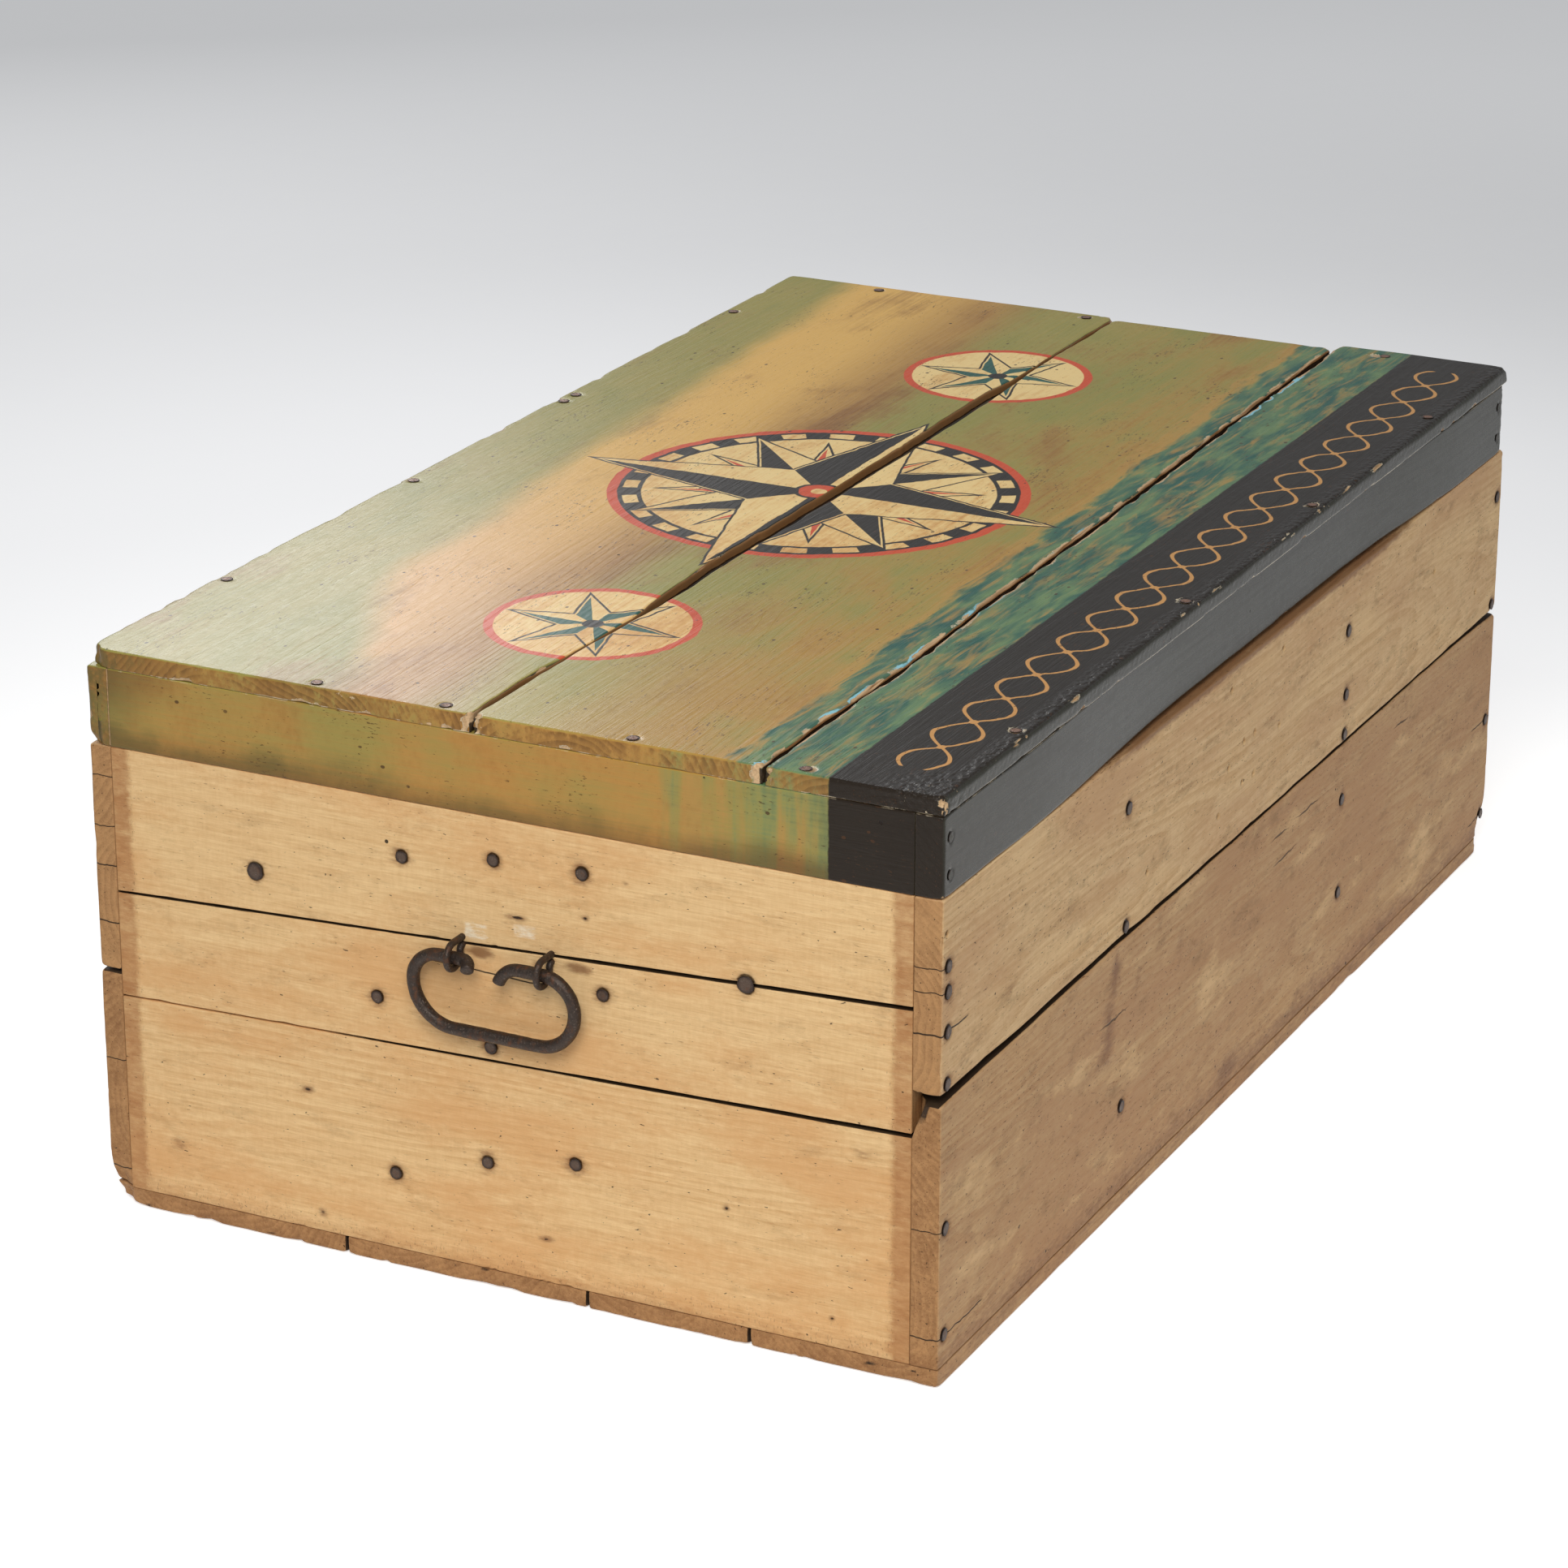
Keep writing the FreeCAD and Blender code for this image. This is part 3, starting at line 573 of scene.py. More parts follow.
    def dent(self, place, outward, radius, depth, dark=1.0):
        """Sinks a round place in a face, and darkens it with painted shade and some dirt."""
        outward = np.asarray(outward, float)
        off = self.site - np.asarray(place)
        height = off @ outward
        across = np.linalg.norm(off - height[:, None] * outward, axis=1)
        near = (np.abs(height) < 0.3) * step_up(-across, -radius * 1.25, -radius * 0.7)
        self.points -= outward * (depth * near)[:, None]
        self.mark("pit", dark * near)

    def blot(self, place, sizes, amount, what="stain"):
        """Stains or darkens a soft-edged place. Sizes are its half widths."""
        off = (self.site - np.asarray(place)) / np.asarray(sizes)
        self.mark(what, amount * np.exp(-(off * off).sum(axis=1)))

    def gnaw(self, place, sizes, depth):
        """Wears a corner of the board away towards its middle."""
        place = np.asarray(place, float)
        off = (self.site - place) / np.asarray(sizes)
        inwards = np.sign((self.low + self.high) / 2 - place) * np.asarray(depth)
        worn = np.exp(-(off * off).sum(axis=1)) * (1 + 0.3 * noise(self.rest, 6, self.seed + 9))
        self.points += worn[:, None] * inwards

    def shade_joint(self, joint, outer, start=0.6, full=2.0, amount=1.0):
        """Paints shade on the sides of an open joint, from a little below the outer face."""
        in_joint = (self.inset(joint) < ON_SIDE) * amount
        self.mark("pit", in_joint * step_up(self.inset(outer), start, full))

    def unevenness(self, amount=0.35):
        """Leaves the faces slightly uneven, never beyond the board's box."""
        centre = (self.low + self.high) / 2
        hollow = 0.5 + 0.5 * noise(self.rest, (170, 90, 90), self.seed + 7)
        thin = int(np.argmin(self.high - self.low))
        inwards = np.sign(centre[thin] - self.rest[:, thin])
        self.points[:, thin] += inwards * hollow * amount

    def build(self, material, outer, inner=None, bare_sides=(), **looks):
        """Makes the object, with its wear kept at the points and its grain as properties."""
        obj = make_object(self.node + "_worn", self.points, self.quads, material)
        normals = np.zeros(len(self.points) * 3)
        obj.data.vertices.foreach_get("normal", normals)
        normals = normals.reshape(-1, 3)
        along = AXES.index(self.grain[0])
        inside = np.zeros(len(self.points))
        if inner:
            axis, sign, _ = self.side(inner)
            inside = step_up(normals[:, axis] * sign, 0.3, 0.8)
        for name in bare_sides:
            axis, sign, _ = self.side(name)
            self.mark("bare", step_up(normals[:, axis] * sign, 0.7, 0.95))
        if "lid" in self.node:
            keep(obj, "top", step_up(normals[:, 2], 0.5, 0.8))
            keep(obj, "front", step_up(-normals[:, 1], 0.5, 0.8))
        keep(obj, "end", step_up(np.abs(normals[:, along]), 0.45, 0.85))
        keep(obj, "inside", inside)
        for name in ("pit", "stain", "bare", "border"):
            keep(obj, name, getattr(self, name))
        across, depth = (AXES.index(axis) for axis in self.grain[1:])
        middle = (self.low + self.high) / 2
        face = self.side(outer)
        lean = scattered(np.array([[self.seed, 3, 5]]), 1)[0]
        obj["seed"] = float(self.seed)
        obj["heart_across"] = float(middle[across] + lean * 0.35 * (self.high - self.low)[across])
        obj["heart_depth"] = float(middle[depth] - face[1] * PITH_DEPTH if face[0] == depth else 0.0)
        for name in ("cool", "brown", "dirty", "plain"):
            obj[name] = looks.get(name, 0.0)
        finish_piece(obj, self.node)


def make_object(name, points, faces, material):
    mesh = bpy.data.meshes.new(name)
    mesh.from_pydata(np.asarray(points) * MM, [], faces)
    mesh.shade_smooth()
    mesh.materials.append(material)
    mesh.update()
    obj = bpy.data.objects.new(name, mesh)
    bpy.context.scene.collection.objects.link(obj)
    return obj


def keep(obj, name, values):
    obj.data.attributes.new(name, "FLOAT", "POINT").data.foreach_set("value", values.astype(np.float32))


# ---- Iron ----
IRON = rgb(62, 52, 46)
IRON_RUST = rgb(104, 66, 42)
IRON_WORN = rgb(146, 130, 118)
IRON_DARK = rgb(40, 26, 20)
NAIL = rgb(86, 68, 56)
LID_NAIL = rgb(140, 102, 82)


def iron(name, base, rust, metallic, roughness):
    """Forged iron: hammered, pitted and dull, with patches of rust, and darker round the rim of a nail's
    head.
    """
    s = Shader(name)
    patch = s.noise(s.at(5.0, 5.0, 5.0), 4.0, 0.65)
    grit = s.noise(s.at(1.1, 1.1, 1.1), 2.0)
    hammer, _ = s.cells(s.at(3.6, 3.6, 3.6), "SMOOTH_F1")
    s.colour = base
    s.lay(patch.over(0.0, 1.0) * 0.8, rust)
    s.lay(grit.over(0.2, 1.2) * patch.under(-0.4, 0.5) * 0.6, IRON_WORN)
    s.lay((s.measured("rim") + patch * 0.16).over(0.5, 0.95) * 0.9, IRON_DARK)
    return s.finish(patch * 0.1 + roughness, hammer * 0.4 + grit * 0.1 + patch * 0.08, Metallic=metallic)


def solids(node):
    """The corners of each separate solid in a CAD node."""
    work = bmesh.new()
    work.from_mesh(frame["nodes"][node].data)
    bmesh.ops.remove_doubles(work, verts=work.verts, dist=0.01 * MM)
    found = []
    seen = set()
    for start in work.verts:
        if start in seen:
            continue
        seen.add(start)
        group = [start]
        for vertex in group:
            for edge in vertex.link_edges:
                other = edge.other_vert(vertex)
                if other not in seen:
                    seen.add(other)
                    group.append(other)
        found.append(np.array([vertex.co[:] for vertex in group]) / MM)
    work.free()
    return found


def nails_of(node):
    """Each nail's place on its face, the direction out of it, the radius of its head and its length."""
    found = []
    for corners in solids(node):
        middle = (corners.min(axis=0) + corners.max(axis=0)) / 2
        spans = np.ptp(corners, axis=0)
        axis = int(np.argmax(spans))
        off = corners - middle
        off[:, axis] = 0
        from_axis = np.linalg.norm(off, axis=1)
        face = corners[int(np.argmax(from_axis)), axis]
        outward = np.zeros(3)
        outward[axis] = 1 if face > middle[axis] else -1
        place = middle.copy()
        place[axis] = face
        found.append((place, outward, from_axis.max(), spans[axis]))
    return found


NAIL_SIDES = 14
PROUD = {"bottom_nails": 0.0, "lid_top_nails": 0.25, "lid_rail_nails": 0.2}  # how far the heads stand out
NAIL_TOP = (0.0, 1.0)  # this and the next two: share of the head's radius, and height
NAIL_HEAD = (NAIL_TOP, (0.34, 0.95), (0.66, 0.9), (0.88, 0.7), (1.0, 0.32), (0.99, 0.0), (0.8, -0.6))
NAIL_SHANK = ((0.42, -0.9), (0.38, -8.0))
NAIL_TIP = 0.16
HAMMER_BLOWS = ((0.08, 0.3, 0.55, 1.0), (0.2, 0.5, 0.8, 1.1))  # the ranges of their tilt and of their level


def nail_form(radius, length, luck):
    """Rings of a hand-made nail along +Z, from the middle of its hammered head to its tip."""
    turns = np.arange(NAIL_SIDES) * 2 * math.pi / NAIL_SIDES
    cosines, sines = np.cos(turns), np.sin(turns)
    outline = 1 + luck.uniform(-0.11, 0.08, NAIL_SIDES)
    outline = (outline + np.roll(outline, 1)) / 2
    square = 1 / np.maximum(np.abs(cosines), np.abs(sines))
    blows = [
        (luck.uniform(0, 2 * math.pi), luck.uniform(least_tilt, most_tilt), luck.uniform(lowest, highest))
        for least_tilt, most_tilt, lowest, highest in HAMMER_BLOWS
    ]
    rings = []
    for share, height in NAIL_HEAD:
        x = radius * share * outline * cosines
        y = radius * share * outline * sines
        z = np.full(NAIL_SIDES, height)
        if height > 0.2:
            for turn, tilt, level in blows:
                lean = (x * math.cos(turn) + y * math.sin(turn)) / radius
                z = np.minimum(z, level - tilt * lean)
        rings.append(np.stack([x, y, z], 1))
    for share, height in NAIL_SHANK + ((NAIL_TIP, -length),):
        reach = radius * share * square
        rings.append(np.stack([reach * cosines, reach * sines, np.full(NAIL_SIDES, height)], 1))
    return rings


def forged_nails(node, material, proud):
    """Replaces the nails of a CAD node."""
    points = []
    faces = []
    rims = []
    for place, outward, radius, length in nails_of(node):
        luck = np.random.default_rng(int(abs(place @ (7.0, 13.0, 29.0))) + 11)
        rings = nail_form(radius, length, luck)
        side = np.roll(outward, 1)
        other = np.cross(outward, side)
        turn = luck.uniform(0, math.pi)
        across = side * math.cos(turn) + other * math.sin(turn)
        axes = np.stack([across, np.cross(outward, across), outward * 1.0])
        start = sum(map(len, points))
        for ring in rings:
            rims.append(np.linalg.norm(ring[:, :2], axis=1) / radius)
            ring[:, 2] = np.where(ring[:, 2] > 0, ring[:, 2] * proud, ring[:, 2])
            points.append(place + ring @ axes)
        for i in range(len(rings) - 1):
            for j in range(NAIL_SIDES):
                k = (j + 1) % NAIL_SIDES
                low = start + i * NAIL_SIDES
                high = low + NAIL_SIDES
                faces.append((low + j, high + j, high + k, low + k))
        last = start + (len(rings) - 1) * NAIL_SIDES
        faces.append(tuple(last + j for j in reversed(range(NAIL_SIDES))))
    obj = make_object(node + "_forged", np.concatenate(points), faces, material)
    keep(obj, "rim", np.concatenate(rims))
    weld(obj)
    finish_piece(obj, node)


def weld(obj):
    """Joins points that lie together and drops the faces that have shrunk to nothing."""
    work = bmesh.new()
    work.from_mesh(obj.data)
    bmesh.ops.remove_doubles(work, verts=work.verts, dist=0.01 * MM)
    bmesh.ops.recalc_face_normals(work, faces=work.faces)
    work.to_mesh(obj.data)
    work.free()
    obj.data.shade_smooth()


def finish_piece(obj, node):
    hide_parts(node)
    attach(obj, frame["nodes"][node]["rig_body"])


# The bent rods of a handle and its eyes, on the left end of the chest
OUT = np.array((-1.0, 0.0, 0.0))
ALONG = np.array((0.0, 1.0, 0.0))
UP = np.array((0.0, 0.0, 1.0))
BEND_STEP = 6.0  # degrees
ROD_SIDES = 18
RING_SPACING = 1.5
BAIL_ROD_RADIUS = 4.3
BAIL_WIDTH = 119.0
BAIL_HEIGHT = 55.0
BAIL_FRONT_RADIUS = 22.0
BAIL_BACK_RADIUS = 18.0
BAIL_CURL = (-18.0, 15.0, 70.0)  # where it starts, its radius and its angle
BAIL_STUB = (21.0, 6.0, 75.0, 3.0, 32.0)  # the same, its straight length, and how far it leans down
EYE_PLACES = (-34.0, 27.0)
EYE_WIRE_RADIUS = 2.3
EYE_RING_RADIUS = 8.2
EYE_NECK_RADIUS = 3.0
EYE_LEG = 2.4  # from the middle of the eye's hole to each leg
EYE_HEIGHT = 227.7
EYE_TAIL = (13.0, 3.0)  # its length and bend
WALL = 33.5  # the end board and its cleat
EYE_STANDOFF = EYE_RING_RADIUS + EYE_NECK_RADIUS
SEAT_GAP = 0.3  # between the rod and the ring that it hangs in
BAIL_AXIS_Z = EYE_HEIGHT + EYE_LEG + EYE_WIRE_RADIUS + BAIL_ROD_RADIUS + SEAT_GAP - 2 * EYE_RING_RADIUS


def arc(centre, radius, start, end, along, up):
    """Points round a bend, from angle start to end in degrees from along towards up."""
    count = max(2, round(abs(end - start) / BEND_STEP))
    turns = np.radians(np.linspace(start, end, count + 1))[:, None]
    return list(centre + radius * (np.cos(turns) * along + np.sin(turns) * up))


def bail_path():
    half = BAIL_WIDTH / 2 - BAIL_ROD_RADIUS
    drop = BAIL_HEIGHT - 2 * BAIL_ROD_RADIUS
    axis = np.array((-CASE_END - EYE_STANDOFF, 0.0, BAIL_AXIS_Z))
    stub_start, stub_radius, stub_angle, stub_length, stub_lean = BAIL_STUB
    curl_start, curl_radius, curl_angle = BAIL_CURL
    lean = math.radians(stub_lean)
    aside = OUT * math.cos(lean) - UP * math.sin(lean)
    stub_centre = axis + ALONG * stub_start + aside * stub_radius
    stub = arc(stub_centre, stub_radius, 180 + stub_angle, 180, aside, ALONG)
    tip_run = (stub[0] - stub[1]) / np.linalg.norm(stub[0] - stub[1])
    front, back = BAIL_FRONT_RADIUS, BAIL_BACK_RADIUS
    path = [stub[0] + tip_run * stub_length] + stub
    path += arc(axis + ALONG * (half - back) - UP * back, back, 90, 0, ALONG, UP)
    path += arc(axis + ALONG * (half - drop + back) - UP * back, drop - back, 0, -90, ALONG, UP)
    path += arc(axis - ALONG * (half - drop + front) - UP * front, drop - front, -90, -180, ALONG, UP)
    path += arc(axis - ALONG * (half - front) - UP * front, front, 180, 90, ALONG, UP)
    path += arc(axis + ALONG * curl_start - UP * curl_radius, curl_radius, 90, 90 - curl_angle, ALONG, UP)
    return path


def eye_path(y):
    """A split pin: a ring outside, two legs through the wall, and two tails clenched inside."""
    hole = np.array((-CASE_END, y, EYE_HEIGHT))
    tail_length, tail_bend = EYE_TAIL
    upper, lower = hole + UP * EYE_LEG, hole - UP * EYE_LEG
    elbow = OUT * -WALL
    path = [upper + elbow - OUT * tail_bend + UP * (tail_bend + tail_length)]
    path += arc(upper + elbow + UP * tail_bend, tail_bend, 180, 270, OUT, UP)
    path += arc(upper + OUT * EYE_STANDOFF - UP * EYE_RING_RADIUS, EYE_RING_RADIUS, 90, -180, OUT, UP)
    path += arc(lower - UP * EYE_NECK_RADIUS, EYE_NECK_RADIUS, 0, 90, OUT, UP)
    path += arc(lower + elbow - UP * tail_bend, tail_bend, 90, 180, OUT, UP)
    path += [lower + elbow - OUT * tail_bend - UP * (tail_bend + tail_length)]
    return path


def spaced(path):
    """The same path with points about one spacing apart."""
    path = np.array(path)
    lengths = np.linalg.norm(np.diff(path, axis=0), axis=1)
    walked = np.concatenate([[0], np.cumsum(lengths)])
    marks = np.linspace(0, walked[-1], max(2, round(walked[-1] / RING_SPACING)) + 1)
    return np.stack([np.interp(marks, walked, path[:, axis]) for axis in range(3)], 1)


def rod(path, radius, wear):
    """Points and faces of a forged rod along a path, worn below its full radius here and there."""
    path = spaced(path)
    runs = np.gradient(path, axis=0)
    runs /= np.linalg.norm(runs, axis=1, keepdims=True)
    across = np.cross(runs[0], (0.3, 0.5, 0.8))
    turns = np.arange(ROD_SIDES) * 2 * math.pi / ROD_SIDES
    rings = []
    for i, (place, run) in enumerate(zip(path, runs)):
        across = across - run * (across @ run)
        across /= np.linalg.norm(across)
        other = np.cross(run, across)
        spokes = np.outer(np.cos(turns), across) + np.outer(np.sin(turns), other)
        rings.append(place + spokes * radius)
        if i in (0, len(path) - 1):
            out = run * radius * (-1 if i == 0 else 1)
            blunt = [place + spokes * radius * 0.8 + out * 0.12]
            blunt.append(np.repeat([place + out * 0.2], ROD_SIDES, axis=0))
            rings = blunt[::-1] + rings if i == 0 else rings + blunt
    points = np.concatenate(rings)
    centres = np.repeat([r.mean(axis=0) for r in rings], ROD_SIDES, axis=0)
    hollow = 0.5 + 0.3 * noise(points, 4.0, 3) + 0.3 * noise(points, 10.0, 5)
    points += (centres - points) / radius * (np.clip(hollow, 0, 1) * wear)[:, None]
    faces = []
    for ring in range(len(rings) - 1):
        for j in range(ROD_SIDES):
            k = (j + 1) % ROD_SIDES
            low = ring * ROD_SIDES
            faces.append((low + j, low + k, low + ROD_SIDES + k, low + ROD_SIDES + j))
    return points, faces


def forged_rods(node, rods, material):
    """Replaces the faceted rods of a CAD node by round ones. The right end's are turned half round."""
    turned = np.array((-1, -1, 1)) if node.startswith("right") else np.ones(3)
    points = []
    faces = []
    for rod_points, rod_faces in rods:
        start = sum(map(len, points))
        points.append(rod_points * turned)
        faces += [tuple(start + corner for corner in face) for face in rod_faces]
    obj = make_object(node + "_forged", np.concatenate(points), faces, material)
    weld(obj)
    finish_piece(obj, node)


# ---- The painted lid ----
OLIVE = rgb(152, 147, 72)
OLIVE_PALE = rgb(178, 162, 86)
OCHRE = rgb(244, 192, 102)
AMBER = rgb(194, 136, 58)
PINK_OCHRE = rgb(224, 166, 100)
UMBER = rgb(158, 108, 50)
RAIL_OLIVE = rgb(157, 143, 76)
RAIL_OCHRE = rgb(190, 138, 72)
TEAL = rgb(42, 96, 84)
TEAL_PALE = rgb(118, 146, 98)
TEAL_OCHRE = rgb(196, 150, 76)
STREAK_OCHRE = rgb(186, 140, 78)
BLACK = rgb(40, 32, 24)
# A greyer black for the faces toward the front: partly the front rail's own paint, partly painted sheen.
SHEEN_SLATE = rgb(56, 56, 46)
SMOKE = rgb(74, 48, 28)
CREAM = rgb(255, 222, 152)
CREAM_AGED = rgb(236, 178, 100)
VERMILION = rgb(222, 84, 42)
LINE = rgb(214, 156, 88)
VARNISH = rgb(150, 104, 50)
PALE_BLUE = rgb(150, 214, 230)
BARE_WOOD = rgb(224, 190, 148)
BARE_WALL = rgb(150, 104, 60)  # bare wood down the side of an open joint
LID_END = rgb(176, 130, 68)
LID_END_DARK = rgb(108, 74, 38)
# Also the colour of painted glints on the scabby black of the front arris.
PRIMING_AND_GLINT = rgb(226, 210, 180)  # the old priming that shows along seams and chips

BLACK_EDGE = -216.0  # where the black border and the teal band start
TEAL_EDGE = -146.0
STREAKS_START = -112.0  # of the upright brush strokes on the end rail
BLUE_SIDE = -172.0  # the joint whose back edge shows flecks of blue
SEAM = 361.3  # where the lid's boards sit on its rails
LID_TOP = 373.0
NEAR_CORNER = (-CASE_END, -289.0)
BORDER_LINE = -252.0
BORDER_END = 452.0
TWIST_PITCH = 92.0
TWIST_WIDTH = 15.0
BEAD_REACH = 3.0
STROKE = 1.3
ROSE_PLACE = (-6.0, 26.0)
ROSE_RIM = ((142.0, VERMILION), (135.0, BLACK))
ROSE_CHEQUERS = (24.0, 122.0, 132.0)  # how many there are, and the reach of their ends
ROSE_CARD = 119.0
ROSE_STARS = (  # points, reach of their tips and of the valleys between them, turn, and the darker paint
    (8, 104.0, 36.0, math.pi / 8, VERMILION),
    (4, 128.0, 44.0, math.pi / 4, BLACK),
    (4, 170.0, 52.0, 0.0, BLACK),
)
ROSE_HUB = ((17.0, BLACK), (14.0, VERMILION))
HUB_CENTRE = 5.5
SIDE_CARDS = (-312.0, 300.0)
SIDE_CARD_SHIFT = 6.0  # how much nearer the back they lie than the large card
SIDE_CARD_RIM = 68.0
SIDE_CARD_REACH = 62.0
SIDE_CARD_HUB = 7.0
SIDE_STAR = (6, 56.0, 22.0, math.pi / 6, TEAL)


def lay_star(s, x, y, cream, points, tip, valley, turn, dark):
    """A star outlined in black, with each of its points half pale and half dark."""
    radius = circle(x, y)
    angle = y.math("ARCTAN2", x) + turn
    wedge = 2 * math.pi / points
    folded = abs((angle / wedge + 0.5).math("FRACT") - 0.5) * wedge
    along = radius * folded.math("COSINE")
    aside = radius * folded.math("SINE")
    valley_along = valley * math.cos(wedge / 2)
    valley_aside = valley * math.sin(wedge / 2)
    slope = math.hypot(valley_aside, tip - valley_along)
    outside = ((along - tip) * valley_aside + aside * (tip - valley_along)) / slope
    inside = outside * -1.0
    half = (angle * float(points)).math("SINE") * radius
    s.lay(inside.over(-2.0, -1.4), BLACK)
    s.lay(inside.over(-0.3, 0.3), cream)
    s.lay(inside.over(0.9, 1.5) * half.over(-1.0, 1.0), dark)


def disc(radius, reach, edge=0.4):
    """1 out to this reach, with an edge as sharp as a small brush leaves it."""
    return radius.under(reach - edge, reach + edge)


def hoop(radius, low, high, edge=0.35):
    """1 between two reaches."""
    return radius.over(low - edge, low + edge) * disc(radius, high, edge)


def lay_decoration(s, x, y, age):
    """A compass card with a mariner's star, between two smaller cards, and a twisted line on the border."""
    cream = s.mix(age, CREAM, CREAM_AGED)
    rose_x = x - ROSE_PLACE[0]
    rose_y = y - ROSE_PLACE[1]
    radius = circle(rose_x, rose_y)
    for reach, paint in ROSE_RIM:
        s.lay(disc(radius, reach), paint)
    count, inner, outer = ROSE_CHEQUERS
    chequer = (rose_y.math("ARCTAN2", rose_x) * count).math("SINE")
    s.lay(hoop(radius, inner, outer) * (chequer * 9.0).over(-0.5, 0.5), cream)
    s.lay(disc(radius, ROSE_CARD), cream)
    for shape in ROSE_STARS:
        lay_star(s, rose_x, rose_y, cream, *shape)
    for reach, paint in ROSE_HUB + ((HUB_CENTRE, cream),):
        s.lay(disc(radius, reach), paint)
    for place in SIDE_CARDS:
        off_x = x - place
        off_y = rose_y - SIDE_CARD_SHIFT
        radius = circle(off_x, off_y)
        s.lay(disc(radius, SIDE_CARD_RIM), VERMILION)
        s.lay(disc(radius, SIDE_CARD_REACH), cream)
        lay_star(s, off_x, off_y, cream, *SIDE_STAR)
        s.lay(disc(radius, SIDE_CARD_HUB), BLACK)

    wave = (x * (2 * math.pi / TWIST_PITCH)).math("SINE") * TWIST_WIDTH
    border_y = y - BORDER_LINE
    inked = abs(x).under(BORDER_END, BORDER_END + 1.0)
    for side in (1.0, -1.0):
        s.lay(abs(border_y - wave * side).under(STROKE * 0.8, STROKE * 1.3) * inked, LINE)
    bead = ((x / (TWIST_PITCH / 2) - 0.5).math("FRACT") - 0.5) * (TWIST_PITCH / 2)
    s.lay(disc(circle(bead, border_y), BEAD_REACH) * inked, LINE)


def sky(s, x, y, broad, cloudy, brush):
    """Thin olive paint, with a long ochre cloud that turns brown along its lower side."""
    s.colour = s.mix((broad * 0.5 + cloudy * 0.6 + brush * 0.35).over(-0.8, 0.8), OLIVE, OLIVE_PALE)
    rise = y + broad * 9.0 + cloudy * 9.0 + brush * 2.0
    crest = x * 0.045 + x.over(-480.0, -260.0) * 84.0 + 138.0
    foot = x * 0.04 + 66.0
    cloud = (crest - rise).over(-5.0, 30.0) * (rise - foot).over(-20.0, 24.0)
    tint = s.mix(x.under(-330.0, 40.0) * 0.8, OCHRE, PINK_OCHRE)
    tint = s.mix((rise - foot).under(8.0, 92.0) * (cloudy * 0.25 + brush * 0.1 + 0.78), tint, UMBER)
    s.lay(cloud * 0.92, tint)
    haze = y.under(-120.0, 40.0) * (cloudy * 0.6 + broad * 0.5 + brush * 0.2 + 0.4).over(-0.3, 0.9)
    s.lay(haze * 0.66, AMBER)
    s.lay((broad * -0.6 + cloudy + brush * 0.4).over(0.1, 1.2) * 0.48, UMBER)
    return s.colour


def sea(s, x, y, cloudy, brush):
    """Soft strokes of teal and pale green, with ochre lights."""
    wave = s.noise((x / 70.0, y / 19.0, 2.0), 3.0, 0.55, 0.8)
    swirl = s.noise((x / 44.0 + y / 34.0, y / 9.0, 6.0), 3.0, 0.55, 1.3)
    teal = s.mix((wave * 0.8 + swirl * 0.3 + brush * 0.15).over(-0.7, 0.8), TEAL, TEAL_PALE)
    light = (swirl * 0.7 - wave * 0.3 + brush * 0.25 + cloudy * 0.3).over(-0.1, 0.9)
    return s.mix(light * 0.72, teal, TEAL_OCHRE), wave, swirl


def side_paint(s, y, z, broad, cloudy, brush):
    """The colours of the top run down over the rails, as soft upright strokes near the border."""
    s.colour = s.mix((broad * 0.6 + cloudy * 0.5 + brush * 0.3).over(-0.9, 1.0), RAIL_OLIVE, RAIL_OCHRE)
    stroke = s.noise(s.at(60.0, 17.0, 160.0), 3.0, 0.6, 0.15)
    cold = stroke * -1.0 + brush * 0.25 + cloudy * 0.3 + y.under(-214.0, -150.0) * 0.3
    strokes = s.mix((stroke + brush * 0.3).over(-0.6, 0.6), RAIL_OLIVE, STREAK_OCHRE)
    strokes = s.mix(cold.over(-0.2, 0.8) * 0.6, strokes, TEAL_PALE)
    strokes = s.mix(cold.over(0.3, 1.2) * 0.7, strokes, TEAL)
    strokes = s.mix((cloudy + 1.0) * 0.25, strokes, RAIL_OLIVE)
    s.lay((y + stroke * 10.0).under(STREAKS_START - 14.0, STREAKS_START + 8.0), strokes)
    smoke = (z + cloudy * 9.0 + broad * 7.0 + brush * 2.0).under(309.0, 333.0)
    by_corner = (y + cloudy * 16.0 + (z - 340.0) * 0.8).over(226.0, 286.0)
    s.lay(largest((smoke, by_corner)) * 0.62, SMOKE)


